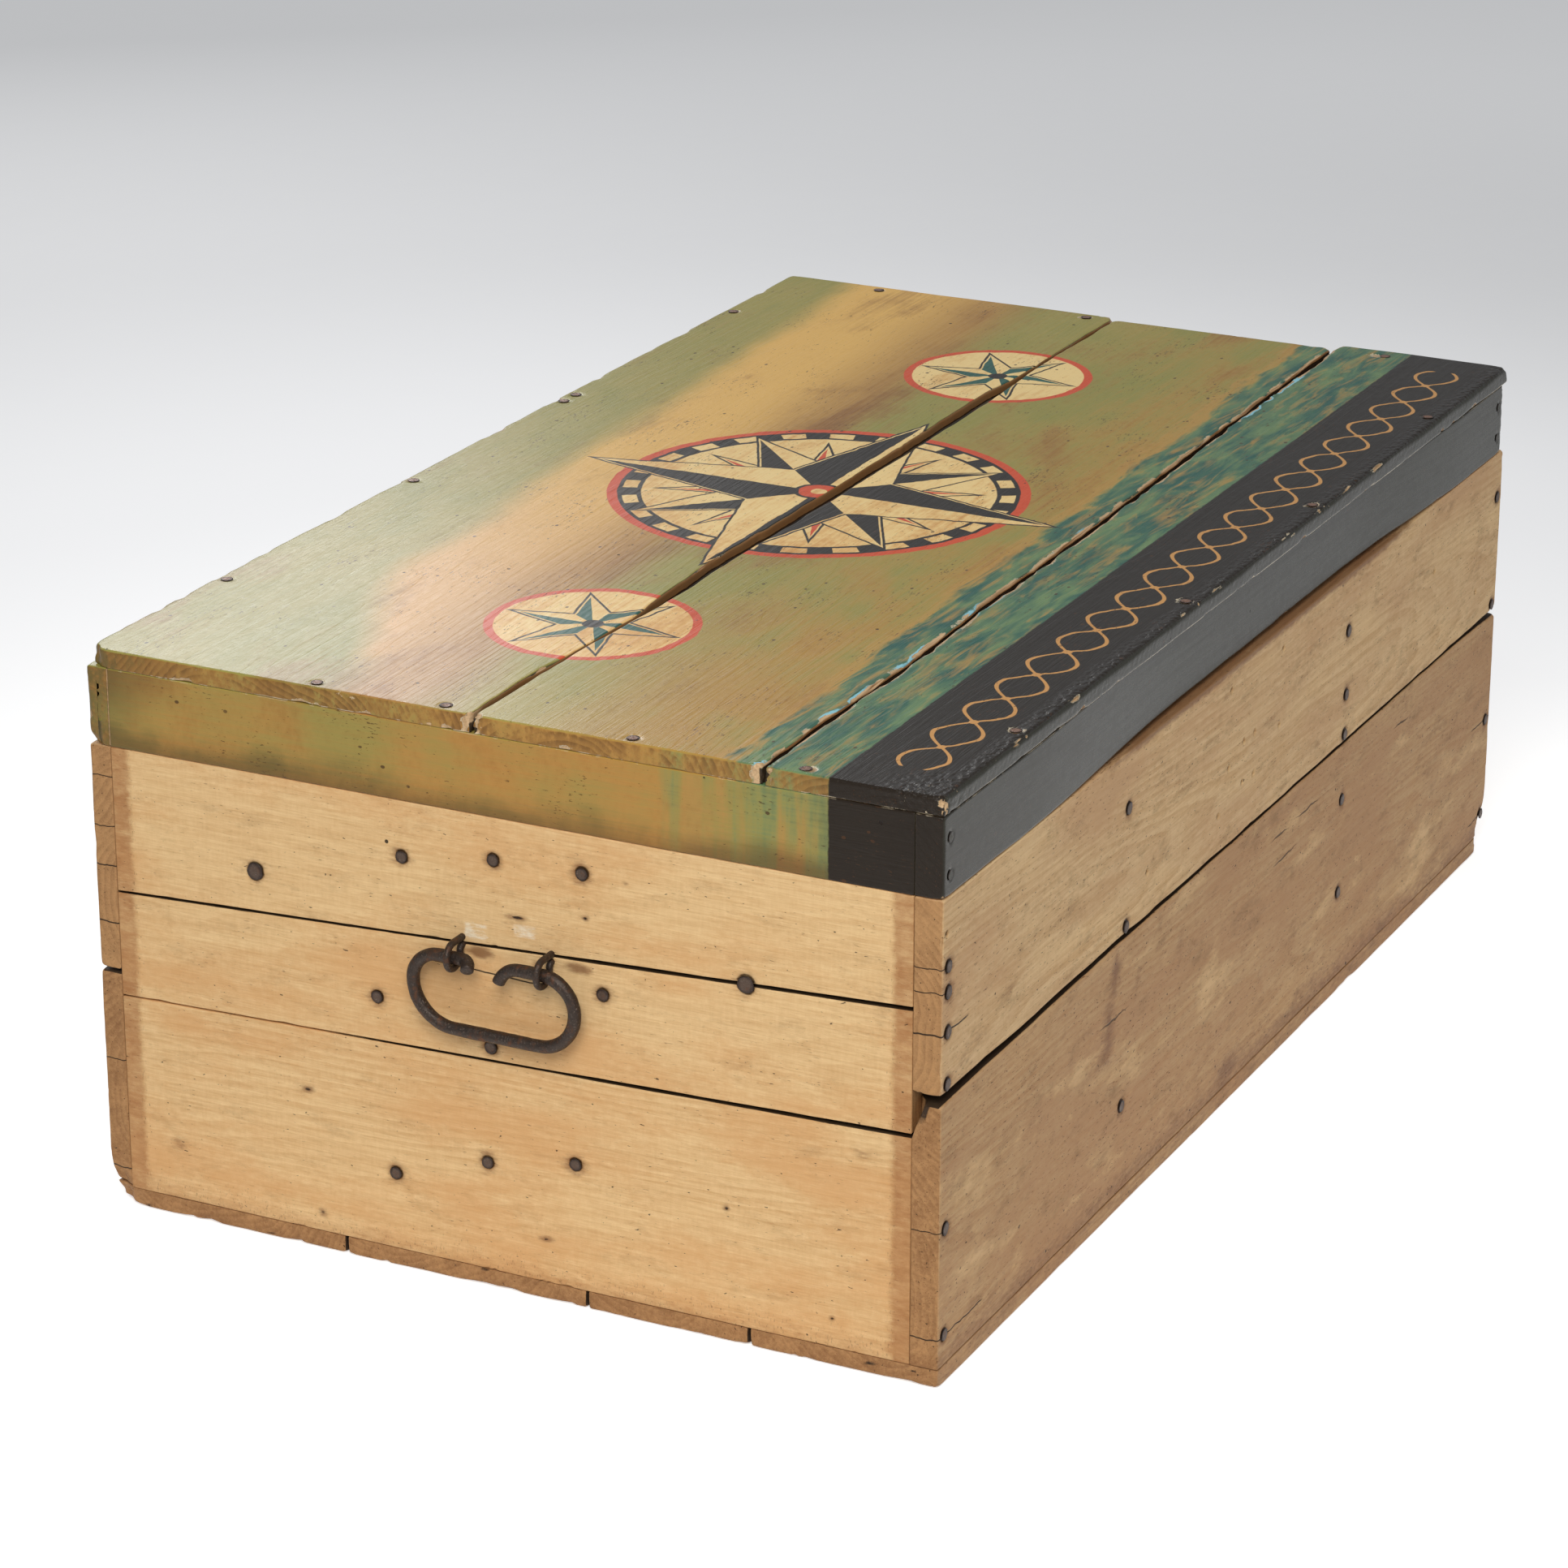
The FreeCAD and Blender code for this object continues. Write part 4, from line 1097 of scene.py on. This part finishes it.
def painted(name, order):
    """Old oil paint on pine, varnished, dirty and chipped down to the wood. Holes and open joints get
    painted shade, the faces toward the front a painted sheen, and the scabby front arris painted glints.
    """
    s = Shader(name)
    grain = Grain(s, order)
    late, fibre = grain.rings()
    x, y, z = s.x, s.y, s.z
    ragged = s.noise(s.at(7.0, 5.0, 7.0), 4.0, 0.65)
    broad = s.noise(s.at(330.0, 150.0, 90.0), 2.0, 0.5, 0.3)
    cloudy = s.noise(s.at(90.0, 46.0, 60.0), 4.0, 0.55, 0.3)
    brush = grain.noise(90.0, 2.2, 3.0, 0.6, moved=None)
    on_top = s.measured("top")
    on_front = s.measured("front")
    off_top = 1.0 - on_top
    off_front = 1.0 - on_front

    top_colour = sky(s, x, y, broad, cloudy, brush)
    side_paint(s, y, z, broad, cloudy, brush)
    s.lay(on_top, top_colour)
    teal, wave, swirl = sea(s, x, y, cloudy, brush)
    shore = y + wave * 7.0 + swirl * 5.0 - x * 0.02
    s.lay(abs(shore - TEAL_EDGE - 6.0).under(1.0, 7.0) * 0.6 * on_top, TEAL_OCHRE)
    s.lay(shore.under(TEAL_EDGE - 4.0, TEAL_EDGE + 5.0) * on_top, teal)
    black = (y + ragged * 0.6).under(BLACK_EDGE - 0.7, BLACK_EDGE + 0.7)
    s.lay(black, BLACK)
    # The faces toward the front get the greyer slate: partly the rail's own paint, partly painted sheen on
    # the black.
    s.lay(on_front, s.mix((broad + 1.0) * 0.3, SHEEN_SLATE, BLACK))

    ground = s.colour
    age = (cloudy * 0.7 + ragged * 0.4 + brush * 0.4 - x * 0.0012).over(-0.6, 1.1)
    shaken = s.noise((x / 14.0, y / 14.0, 0.5), 2.0)
    lay_decoration(s, x + shaken * 0.9, y + shaken * 0.8, age)
    s.colour = s.mix(on_top * (brush * 0.5 + ragged * 0.6).under(0.9, 1.5), ground, s.colour)

    glaze = (cloudy * 0.6 + ragged * 0.4 + brush * 0.25).over(-0.2, 1.5)
    s.lay(glaze * 0.4, VARNISH, "MULTIPLY")
    crowd = s.noise(s.at(60.0, 34.0, 34.0), 2.0)
    speck = grain.noise(4.6, 1.5, 3.0, 0.65, moved=None) + crowd * 0.35
    s.lay(speck.over(0.58, 0.84) * off_front * 0.74, SMOKE)
    dot, chance = s.cells(grain.parts(16.0, 11.0, moved=2))
    dot = (dot + ragged * 0.03).under(0.07, 0.12) * (chance + crowd * 0.3).over(0.72, 0.8)
    s.lay(dot * (0.85 - on_front * 0.3), SMOKE)

    cut = s.mix(late * 0.5 + ragged * 0.25 + cloudy * 0.3 + 0.25, LID_END, LID_END_DARK)
    s.lay(s.measured("end") * off_top * (1.0 - black) * (ragged + cloudy).over(-0.9, 0.3) * 0.85, cut)

    corner = (circle(x - NEAR_CORNER[0], y - NEAR_CORNER[1]) + ragged * 6.0).under(20.0, 58.0)
    front_edge = (y - NEAR_CORNER[1] + ragged * 4.0 - (z - LID_TOP)).under(4.0, 15.0)
    front_edge = front_edge * (1.0 - on_front * 0.5)
    scabby = largest((corner, front_edge)) * z.over(SEAM, SEAM + 1.0)
    scab, _ = s.cells((x / 4.2 + ragged * 0.2, y / 3.4, z / 3.4), "SMOOTH_F1")
    # Pale flecks on the scabby corner and front arris: partly chipped paint showing the priming, partly
    # painted glints on the lumps.
    chip_and_glint = s.noise(s.at(2.6, 1.7, 1.7), 3.0, 0.75) + ragged * 0.5 + corner * 0.35
    s.lay(chip_and_glint.over(1.12, 1.3) * scabby * 0.85, PRIMING_AND_GLINT)

    bare = s.measured("bare") + scabby * ragged.over(0.5, 1.1) * 0.16
    worn = bare + ragged * 0.24 + brush * 0.08
    hidden = s.measured("inside").over(0.8, 0.95)
    stripped = largest((worn.over(0.38, 0.45), hidden))
    wall = off_top * abs(x).under(470.0, 480.0)
    wood = s.mix(late * 0.3 + fibre * 0.3 + 0.2, s.mix(wall, BARE_WOOD, BARE_WALL), PINE_SMUDGE)
    wood = s.mix((ragged * 0.6 + cloudy * 0.4).over(0.2, 1.4) * 0.7, wood, SMOKE)
    s.lay(worn.over(0.28, 0.36) * cloudy.over(-0.5, 0.3) * 0.8, PRIMING_AND_GLINT)
    blue = s.noise((x / 100.0, y / 90.0, 4.0), 2.0).over(0.1, 0.25) * (bare + ragged * 0.1).over(0.1, 0.2)
    blue = blue * y.over(BLUE_SIDE - 4.0, BLUE_SIDE) * y.under(BLUE_SIDE + 12.0, BLUE_SIDE + 13.0)
    s.lay(blue * on_top * 0.9, PALE_BLUE)
    s.lay(stripped, wood)
    seam = abs(z - SEAM + ragged * 0.3).under(0.4, 0.9) * off_top * (1.0 - hidden)
    s.lay(seam * (ragged + cloudy + on_front * 0.7).over(0.1, 0.5) * 0.85, PRIMING_AND_GLINT)
    hole, chance = s.cells((x / 30.0, y / 30.0, z / 30.0 + grain.far))
    hole = hole.under(0.028, 0.042) * chance.over(0.68, 0.7)
    # Painted shade, with some dirt, in dents, small holes and open joints.
    pit = largest(((s.measured("pit") + ragged * 0.12).over(0.3, 0.75), hole))
    s.lay(pit * 0.93, HOLLOW_SHADE_AND_DIRT)

    grain_lines = (late * 0.09 + fibre * 0.04) * (1.0 - on_front * 0.85)
    strokes = (brush * 0.06 + ragged * 0.03) * (1.0 - on_front * 0.8)
    lumps = scabby * (scab * 1.2 + ragged * 0.3) * (1.0 - on_front * 0.6)
    height = grain_lines + strokes + lumps - stripped * 0.35 - pit * 0.8
    roughness = stripped * 0.35 + brush * 0.04 + ragged * 0.04 - on_front * 0.06 + 0.34
    return s.finish(roughness, height, Specular_IOR_Level=0.18, Coat_Weight=0.1, Coat_Roughness=0.22)


# ---- The boards ----
def window(values, low, high, soft):
    """1 between low and high, fading to 0 over the soft stretch at each."""
    return step_up(values, low - soft, low + soft) * (1 - step_up(values, high - soft, high + soft))


NAIL_NODES = (
    "front_nails", "back_nails", "left_end_nails", "right_end_nails", "bottom_nails", "lid_top_nails",
    "lid_rail_nails",
)
all_nails = [nail for node in NAIL_NODES for nail in nails_of(node)]

FRONT_FACE = -289.0
BACK_FACE = 289.0
HASP_HOLES = (  # x, z of small old holes in the front
    (-47, 242), (-63, 214), (-21, 252), (-2, 252), (-22, 224), (-2, 223), (43, 242), (-46, 295), (46, 295),
    (-182, 218), (345, 259), (440, 215), (-483, 288),
)
FRONT_STAINS = (  # x, z, half sizes, strength
    (-229, 168, 8, 18, 0.95), (-238, 132, 11, 27, 0.9), (-250, 116, 18, 12, 0.5), (-123, 146, 7, 20, 0.55),
    (-30, 22, 34, 14, 0.75), (-190, 150, 5, 12, 0.6), (120, 26, 50, 9, 0.55), (-440, 205, 26, 10, 0.45),
    (-442, 34, 12, 7, 0.5),
)
END_MARKS = (  # y, z, half sizes, darkness
    (-11, 249, 4.2, 1.0, 1.0), (-57, 257, 1.6, 1.0, 0.9), (140, 107, 2.6, 1.2, 0.8),
    (-150, 88, 1.3, 1.2, 0.9), (-27, 41, 3.0, 1.2, 0.5), (132, 25, 2.0, 1.4, 0.7),
    (-220, 31, 1.4, 1.0, 0.9),
)
END_STAINS = (  # y, z, half sizes, strength
    (15, 222, 10, 4.5, 1.15), (-52, 224, 10, 4, 1.1), (-24, 221, 5, 4, 0.7), (40, 240, 22, 6, 0.35),
    (-20, 243, 26, 5, 0.4), (-84, 284, 3, 2, 0.6), (-240, 142, 14, 6, 0.5), (-250, 240, 10, 24, 0.4),
    (236, 50, 10, 6, 0.45), (176, 246, 16, 8, 0.45),
)
TORN_FOOT = 160.0  # the torn notch by the near corner: where it starts, and its sizes up, along and in
TORN_HEIGHT = 27.0
TORN_STRETCH = (474.0, 486.0)
TORN_DEPTH = 8.5
hole_places = [(x, FRONT_FACE, z) for x, z in HASP_HOLES]
end_places = [(-CASE_END, y, z) for y, z, *_ in END_MARKS + END_STAINS]
dent_places = [nail[0] for nail in all_nails] + hole_places + end_places


def worn_board(node, grain):
    """A board of the frame with its nails let in."""
    board = Board(node, grain, dent_places)
    board.unevenness()
    # Each nail sits in a dent whose dark ring is iron stain and painted shade.
    for place, outward, radius, _ in all_nails:
        if node.startswith("lid"):
            board.dent(place, outward, radius + 0.3, 0.7, 0.4)
            if outward[2] > 0:
                board.blot(place, (6.0, 6.0, 6.0), 0.56, "bare")
        else:
            board.dent(place, outward, radius + 0.9, 0.9, 0.66)
            board.blot(place, (7.4, 7.4, 7.4), 1.05)
    return board


def front_gap(x):
    """How far the joint of the front has opened."""
    return 1.0 + 4.6 * np.exp(-((x + CASE_END) / 210.0)) + 2.4 * step_up(x, 400.0, CASE_END)


def front_boards(material):
    """The boards of the front and the back."""
    # cool is painted cooler shade, for faces that the key light reaches less.
    looks = {
        "front_board_upper": {"cool": 0.27, "brown": 0.0, "dirty": 0.72, "plain": 0.1},
        "front_board_lower": {"cool": 0.28, "brown": 0.49, "dirty": 1.1, "plain": 0.2},
        "back_board_upper": {"cool": 0.3, "brown": 0.2, "dirty": 0.7},
        "back_board_lower": {"cool": 0.25, "brown": 0.3, "dirty": 0.8},
    }
    for node, look in looks.items():
        front = node.startswith("front")
        lower = node.endswith("lower")
        outer, inner = ("y-", "y+") if front else ("y+", "y-")
        joint = "z+" if lower else "z-"
        board = worn_board(node, "xzy")
        x = board.rest[:, 0]
        wave = board.ripple(0.8, 95, 4) + board.ripple(0.5, 22, 5)
        gap = front_gap(x) if front else 1.2
        board.shift(joint, gap * (0.75 if lower else 0.25) + wave * (1 if lower else -1), 26.0)
        board.round(0.9, [("x-" + outer, 1.7), ("x+" + outer, 2.6), (outer + joint, 1.4)])
        # Painted shade in the open joint.
        board.shade_joint(joint, outer)
        for end in X_ENDS:
            board.chip(end + outer, 1.2, 2.2, 11.0, 0.62)
            board.chip(end + joint, 1.6, 3.0, 7.0, 0.55)
        board.chip(outer + joint, 1.0, 2.0, 20.0, 0.64)
        if lower:
            board.mark("stain", 0.62 * bell(board.inset("z-"), 17.0))
            board.mark("stain", 0.42 * (board.inset("x-") < ON_SIDE))
        elif front:
            board.mark("stain", window(x, -240.0, 285.0, 60.0) * bell(board.inset("z+"), 4.5))
        if front:
            # Old holes, sunk and darkened with painted shade.
            for place in hole_places:
                board.dent(place, (0, -1, 0), 1.9, 3.0)
            for at_x, at_z, wide, high, amount in FRONT_STAINS:
                board.blot((at_x, FRONT_FACE, at_z), (wide, 20, high), amount)
        if node == "front_board_lower":
            torn = np.clip((board.rest[:, 2] - TORN_FOOT) / TORN_HEIGHT, 0, 1) * step_up(-x, *TORN_STRETCH)
            board.shift("y+", TORN_DEPTH * torn, 15.0)
            # The inner wall of the torn notch is darkened with painted shade.
            board.mark("pit", torn * step_up(-board.inset("y+"), -8.0, -6.0))
            board.gnaw((CASE_END, FRONT_FACE, 14.0), (13.0, 30.0, 16.0), (9.0, 3.0, 2.0))
        if node == "back_board_lower":
            board.gnaw((-CASE_END, BACK_FACE, 10.0), (12.0, 12.0, 12.0), (4.0, 4.0, 3.0))
        board.build(material, outer, inner, **look)


def end_boards(material):
    plain = {"lower": 0.25, "middle": 0.65, "upper": 0.85}
    joints_of = {"lower": ["z+"], "middle": ["z-", "z+"], "upper": ["z-"]}
    for name, outer, inner in (("left", "x-", "x+"), ("right", "x+", "x-")):
        for part, joints in joints_of.items():
            board = worn_board(f"{name}_end_board_{part}", "yzx")
            y = board.rest[:, 1] * (1 if name == "left" else -1)
            opening = 0.3 + 1.3 * step_up(-y, -120.0, 270.0)
            wave = board.ripple(0.3, 60, 6) + board.ripple(0.15, 12, 8)
            tight = 0.1 + 0.9 * step_up(-y, -190.0, -20.0)
            for joint in joints:
                share = 1.0 if part + joint in ("upperz-", "middlez+") else tight
                board.shift(joint, (0.5 * opening + wave) * share, 14.0)
                # Painted shade in the open joint.
                board.shade_joint(joint, outer, 0.3, 1.2, share)
            edges = (outer + "z-", outer + "z+")
            board.round(0.5, [(edge, 0.6) for edge in edges])
            for edge in edges:
                board.chip(edge, 0.8, 1.4, 8.0, 0.66)
            board.border = np.minimum(board.inset("y-"), board.inset("y+"))
            if part == "lower":
                board.border = np.minimum(board.border, 11.8 + board.inset("z-") * 0.22)
            if name == "left":
                for at_y, at_z, wide, high, dark in END_MARKS:
                    board.blot((-CASE_END, at_y, at_z), (6.0, wide, high), dark, "pit")
                    board.blot((-CASE_END, at_y, at_z), (6.0, wide * 2.2, high * 2.6), 0.8)
                for at_y, at_z, wide, high, amount in END_STAINS:
                    board.blot((-CASE_END, at_y, at_z), (9.0, wide, high), amount)
            board.build(material, outer, inner, dirty=0.1, plain=plain[part])


def bottom_boards(material):
    for number in range(1, 5):
        board = worn_board(f"bottom_board_{number}", "xyz")
        for joint in {1: ["y+"], 4: ["y-"]}.get(number, ["y-", "y+"]):
            board.shift(joint, 0.15 + board.ripple(0.2, 80, 9), 12.0)
            # Painted shade in the open joint.
            board.shade_joint(joint, "z-")
        board.round(0.8, [("x-z-", 2.0), ("x+z-", 2.0)])
        for end in X_ENDS:
            board.chip(end + "z-", 1.8, 3.0, 13.0, 0.5)
            board.chip(end + "z+", 1.0, 1.6, 6.0, 0.55)
        crumbs = noise(board.rest, (9, 9, 5), 31) + 0.7 * noise(board.rest, (3.4, 3.4, 2.4), 32)
        # The crumbly end gets dark crevices of painted shade.
        board.mark("pit", 0.8 * step_up(crumbs, 0.75, 1.05) * (board.inset("x-") < ON_SIDE))
        if number == 1:
            board.chip("y-z-", 1.4, 3.0, 30.0, 0.6)
            board.gnaw((CASE_END, FRONT_FACE, 6.0), (14.0, 30.0, 30.0), (15.0, 2.0, 0.0))
        if number == 4:
            board.gnaw((-CASE_END, BACK_FACE, 0.0), (14.0, 14.0, 14.0), (6.0, 6.0, 3.0))
        board.stain[:] = 0.45
        # The bottom gets some painted cooler shade too.
        board.build(material, "z-", "z+", cool=0.2, brown=0.5, dirty=0.8)


def inner_boards(material):
    """The battens behind the front and back boards, and the cleats behind the ends."""
    battens = [f"{side}_batten_{place}" for side in ("front", "back") for place in ("left", "right")]
    pieces = [(node, "zxy", "y+") for node in battens]
    pieces += [(node, "zyx", "x+") for node in ("left_end_cleat", "right_end_cleat")]
    for node, grain, outer in pieces:
        board = Board(node, grain)
        board.round(1.6)
        # These inside pieces get a little painted cooler shade.
        board.build(material, outer, cool=0.1, dirty=0.4)


SLANT_PLACES = (-CASE_END, -200.0, 477.0)  # along the front joint of the lid
SLANT_SHIFTS = (5.0, 2.0, -12.0)


def lid_gap(x):
    """How far the joint behind the middle board of the lid has opened."""
    return 0.6 + 8.0 * window(x, -262.0, 288.0, 40.0) + 2.5 * window(x, -455.0, -415.0, 12.0)


def lid_boards(material):
    """The three boards of the lid. The joint in front of the middle one slants and is splintered."""
    for name, joints in (("front", ["y+"]), ("middle", ["y-", "y+"]), ("back", ["y-"])):
        board = worn_board(f"lid_board_{name}", "xyz")
        x = board.rest[:, 0]
        upper = step_up(board.rest[:, 2] - board.low[2], 2.6, 5.2)
        drift = board.ripple(3.0, 130, 12) + board.ripple(1.0, 34, 13)
        fine = board.ripple(0.8, 17, 14) + board.ripple(0.5, 6, 15)
        slant = np.interp(x, SLANT_PLACES, SLANT_SHIFTS) + 0.6 * drift
        splintered = {"front": "y+", "middle": "y-"}.get(name)
        for joint in joints:
            away = 1 if joint == "y+" else -1
            if joint == splintered:
                board.shift(joint, away * slant, 70.0)
                board.shift(joint, (0.7 + fine) * upper, 9.0)
            else:
                part = 0.62 if name == "middle" else 0.38
                board.shift(joint, away * drift, 70.0)
                board.shift(joint, (lid_gap(x) * part + fine) * upper, 12.0)
            # The light reaches further down into the open joint in front of the back board, so its painted
            # shade starts deeper.
            lit = name == "back"
            board.shade_joint(joint, "z+", 4.5 if lit else 1.2, 8.5 if lit else 3.0)
        arrises = [("x-z+", 1.8), ("x+z+", 2.4)] + [(joint + "z+", 1.4) for joint in joints]
        arrises += {"front": [("y-z+", 3.6)], "back": [("y+z+", 2.8)]}.get(name, [])
        board.round(0.8, arrises)
        for joint in joints:
            if joint == splintered:
                board.chip(joint + "z+", 0.8, 2.3, 12.0, 0.3)
                board.chip(joint + "z+", 1.7, 2.9, 8.0, 0.6)
            else:
                board.chip(joint + "z+", 1.2, 1.7, 12.0, 0.6)
            for end in X_ENDS:
                board.chip(end + joint, 2.6, 4.0, 5.0, 0.3)
        for end in X_ENDS:
            board.chip(end + "z+", 1.3, 2.4, 10.0, 0.6)
            board.chip(end + "z-", 1.2, 2.0, 9.0, 0.6)
        if name == "front":
            board.chip("y-z+", 1.4, 1.9, 5.0, 0.5, where=step_up(board.ripple(1.0, 70, 21), -0.5, 0.4))
            board.chip("y-z-", 1.2, 2.0, 9.0, 0.56)
            board.chip("x-y-", 2.0, 4.0, 5.0, 0.4)
        if name == "back":
            board.chip("y+z+", 1.6, 3.0, 14.0, 0.56)
            board.gnaw((-CASE_END, BACK_FACE, 367.0), (9.0, 9.0, 30.0), (5.0, 4.0, 0.0))
        board.build(material, "z+", "z-", bare_sides=joints)


def long_rails(material):
    """The front and back rails of the lid. The front one has warped."""
    for name, outer, inner in (("front", "y-", "y+"), ("back", "y+", "y-")):
        board = worn_board(f"lid_{name}_rail", "xzy")
        if name == "front":
            bow = window(board.rest[:, 0], -250.0, 290.0, 120.0)
            board.shift("y-", 4.5 * bow, 400.0)
            board.shift("z-", 3.4 * bow + board.ripple(0.5, 60, 17), 30.0)
        board.round(0.9, [("x-" + outer, 2.6), ("x+" + outer, 2.6), (outer + "z-", 1.6)])
        board.chip(outer + "z-", 1.0, 1.8, 21.0, 0.7)
        for end, sign in (("x-", -1), ("x+", 1)):
            board.chip(end + outer, 1.3, 2.2, 6.0, 0.5)
            if name == "back":
                board.gnaw((sign * CASE_END, BACK_FACE, 311.0), (7, 7, 5), (2, 2, 1.5))
        board.build(material, outer, inner, bare_sides=["z-"])


def end_rails(material):
    for name, outer, inner in (("left", "x-", "x+"), ("right", "x+", "x-")):
        board = worn_board(f"lid_{name}_rail", "yzx")
        board.round(0.9)
        board.chip(outer + "z-", 1.0, 1.8, 21.0, 0.7)
        board.build(material, outer, inner, bare_sides=["z-"])


# ---- The camera, the floor and the lamps ----
CAMERA_PLACE = Vector((-2.88879, -1.37926, 1.38529))  # metres
CAMERA_AZIMUTH = math.radians(-63.599)
CAMERA_HEIGHT = math.radians(20.858)
CAMERA_ROLL = math.radians(0.064)
CAMERA_LENS = 115.2


def make_camera():
    cosine, sine = math.cos(CAMERA_AZIMUTH), math.sin(CAMERA_AZIMUTH)
    level = math.cos(CAMERA_HEIGHT)
    right = Vector((cosine, sine, 0))
    back = Vector((sine * level, -cosine * level, math.sin(CAMERA_HEIGHT)))
    turned = Matrix((right, back.cross(right), back)).transposed() @ Matrix.Rotation(CAMERA_ROLL, 3, "Z")
    camera = bpy.data.objects.new("camera", bpy.data.cameras.new("camera"))
    bpy.context.scene.collection.objects.link(camera)
    camera.data.lens = CAMERA_LENS
    camera.matrix_world = Matrix.Translation(CAMERA_PLACE) @ turned.to_4x4()
    bpy.context.scene.camera = camera


# The grey of the far floor is painted shade, as light falls off on a studio sweep
SHADED_SWEEP = ((300.0, 1300.0, 214), (1100.0, 2150.0, 188), (2300.0, 3100.0, 196))  # distances, grey
FLOOR_REACH = 30.0  # metres
FLOOR_DROP = 0.0004
FLOOR_GLOW = 0.55
WORLD_COLOUR = (0.92, 0.96, 1.0, 1.0)
WORLD_STRENGTH = 0.34
LAMPS = (  # name, place and target in metres, width, height, power, colour
    ("key", (-2.55, -0.95, 2.35), (0, 0, 0.2), 1.6, 1.6, 66.0, (1.0, 0.97, 0.92)),
    ("window", (1.79, 1.91, 1.5), (-0.4, 0.2, 0.37), 1.1, 0.7, 17.5, (1.0, 1.0, 1.0)),
    ("fill", (1.5, -3.0, 1.6), (0, 0, 0.2), 2.0, 2.0, 9.0, (0.97, 0.98, 1.0)),
)


def make_lamp(name, place, target, width, height, power, colour):
    data = bpy.data.lights.new(name, "AREA")
    data.shape = "RECTANGLE"
    data.size = width
    data.size_y = height
    data.energy = power
    data.color = colour
    obj = bpy.data.objects.new(name, data)
    bpy.context.scene.collection.objects.link(obj)
    obj.location = place
    obj.rotation_euler = (Vector(target) - Vector(place)).to_track_quat("-Z", "Y").to_euler()
    obj.visible_camera = False


def make_floor():
    """A pale floor that keeps the chest's shadow, glows for the camera, and turns grey far behind as a
    studio sweep does, the grey being painted shade.
    """
    s = Shader("studio_floor")
    distance = circle(s.x, s.y)
    speckle = s.noise((s.x / 40.0, s.y / 40.0, 0.0))
    s.colour = rgb(255, 255, 255)
    for near, far, level in SHADED_SWEEP:
        s.lay(distance.over(near, far), rgb(level, level, level + 1))
    rays = s.add("ShaderNodeLightPath").outputs
    seen = largest([Field(s, rays[f"Is {kind} Ray"]) for kind in ("Camera", "Glossy", "Transmission")])
    plain = s.add("ShaderNodeBsdfDiffuse")
    s.join(s.mix(speckle * 0.01 + 0.01, s.colour, rgb(225, 225, 225)), plain.inputs["Color"])
    glow = s.add("ShaderNodeEmission")
    s.join(s.colour, glow.inputs["Color"])
    s.join(seen * FLOOR_GLOW, glow.inputs["Strength"])
    both = s.add("ShaderNodeAddShader")
    s.join(plain.outputs[0], both.inputs[0])
    s.join(glow.outputs[0], both.inputs[1])
    s.join(both.outputs[0], s.add("ShaderNodeOutputMaterial").inputs["Surface"])
    corners = [(FLOOR_REACH * x, FLOOR_REACH * y, 0) for x, y in ((-1, -1), (1, -1), (1, 1), (-1, 1))]
    mesh = bpy.data.meshes.new("floor")
    mesh.from_pydata(corners, [], [(0, 1, 2, 3)])
    mesh.materials.append(s.material)
    floor = bpy.data.objects.new("floor", mesh)
    bpy.context.scene.collection.objects.link(floor)
    floor.location.z = -FLOOR_DROP


def make_world():
    world = bpy.data.worlds.new("studio")
    bpy.context.scene.world = world
    world.use_nodes = True
    inputs = world.node_tree.nodes["Background"].inputs
    inputs["Color"].default_value = WORLD_COLOUR
    inputs["Strength"].default_value = WORLD_STRENGTH


front_boards(pine("scrubbed_pine_x", "xzy"))
end_boards(pine("scrubbed_pine_y", "yzx"))
bottom_boards(pine("scrubbed_pine_b", "xyz"))
inner_boards(pine("inner_pine_z", "zxy"))
paint_x = painted("painted_pine_x", "xyz")
lid_boards(paint_x)
long_rails(paint_x)
end_rails(painted("painted_pine_y", "yzx"))

nail_material = iron("nail_iron", NAIL, IRON_RUST, 0.3, 0.5)
other_nails = {
    "lid_top_nails": iron("lid_nail_iron", LID_NAIL, IRON_RUST, 0.3, 0.4),
    # The rail nails are painted over in the same slate, partly painted sheen.
    "lid_rail_nails": iron("painted_nail_iron", SHEEN_SLATE, BLACK, 0.0, 0.5),
}
for node in NAIL_NODES:
    forged_nails(node, other_nails.get(node, nail_material), proud=PROUD.get(node, 0.5))
iron_material = iron("forged_iron", IRON, IRON_RUST, 0.6, 0.46)
for side in ("left", "right"):
    eyes = [rod(eye_path(y), EYE_WIRE_RADIUS, 0.22) for y in EYE_PLACES]
    forged_rods(side + "_handle_bail", [rod(bail_path(), BAIL_ROD_RADIUS, 0.5)], iron_material)
    forged_rods(side + "_handle_eyes", eyes, iron_material)
for node, obj in frame["nodes"].items():
    if node.startswith("hinge"):
        obj.data.materials.clear()
        obj.data.materials.append(iron_material)

make_camera()
make_floor()
make_world()
for row in LAMPS:
    make_lamp(*row)
bpy.context.scene.view_settings.view_transform = "Standard"
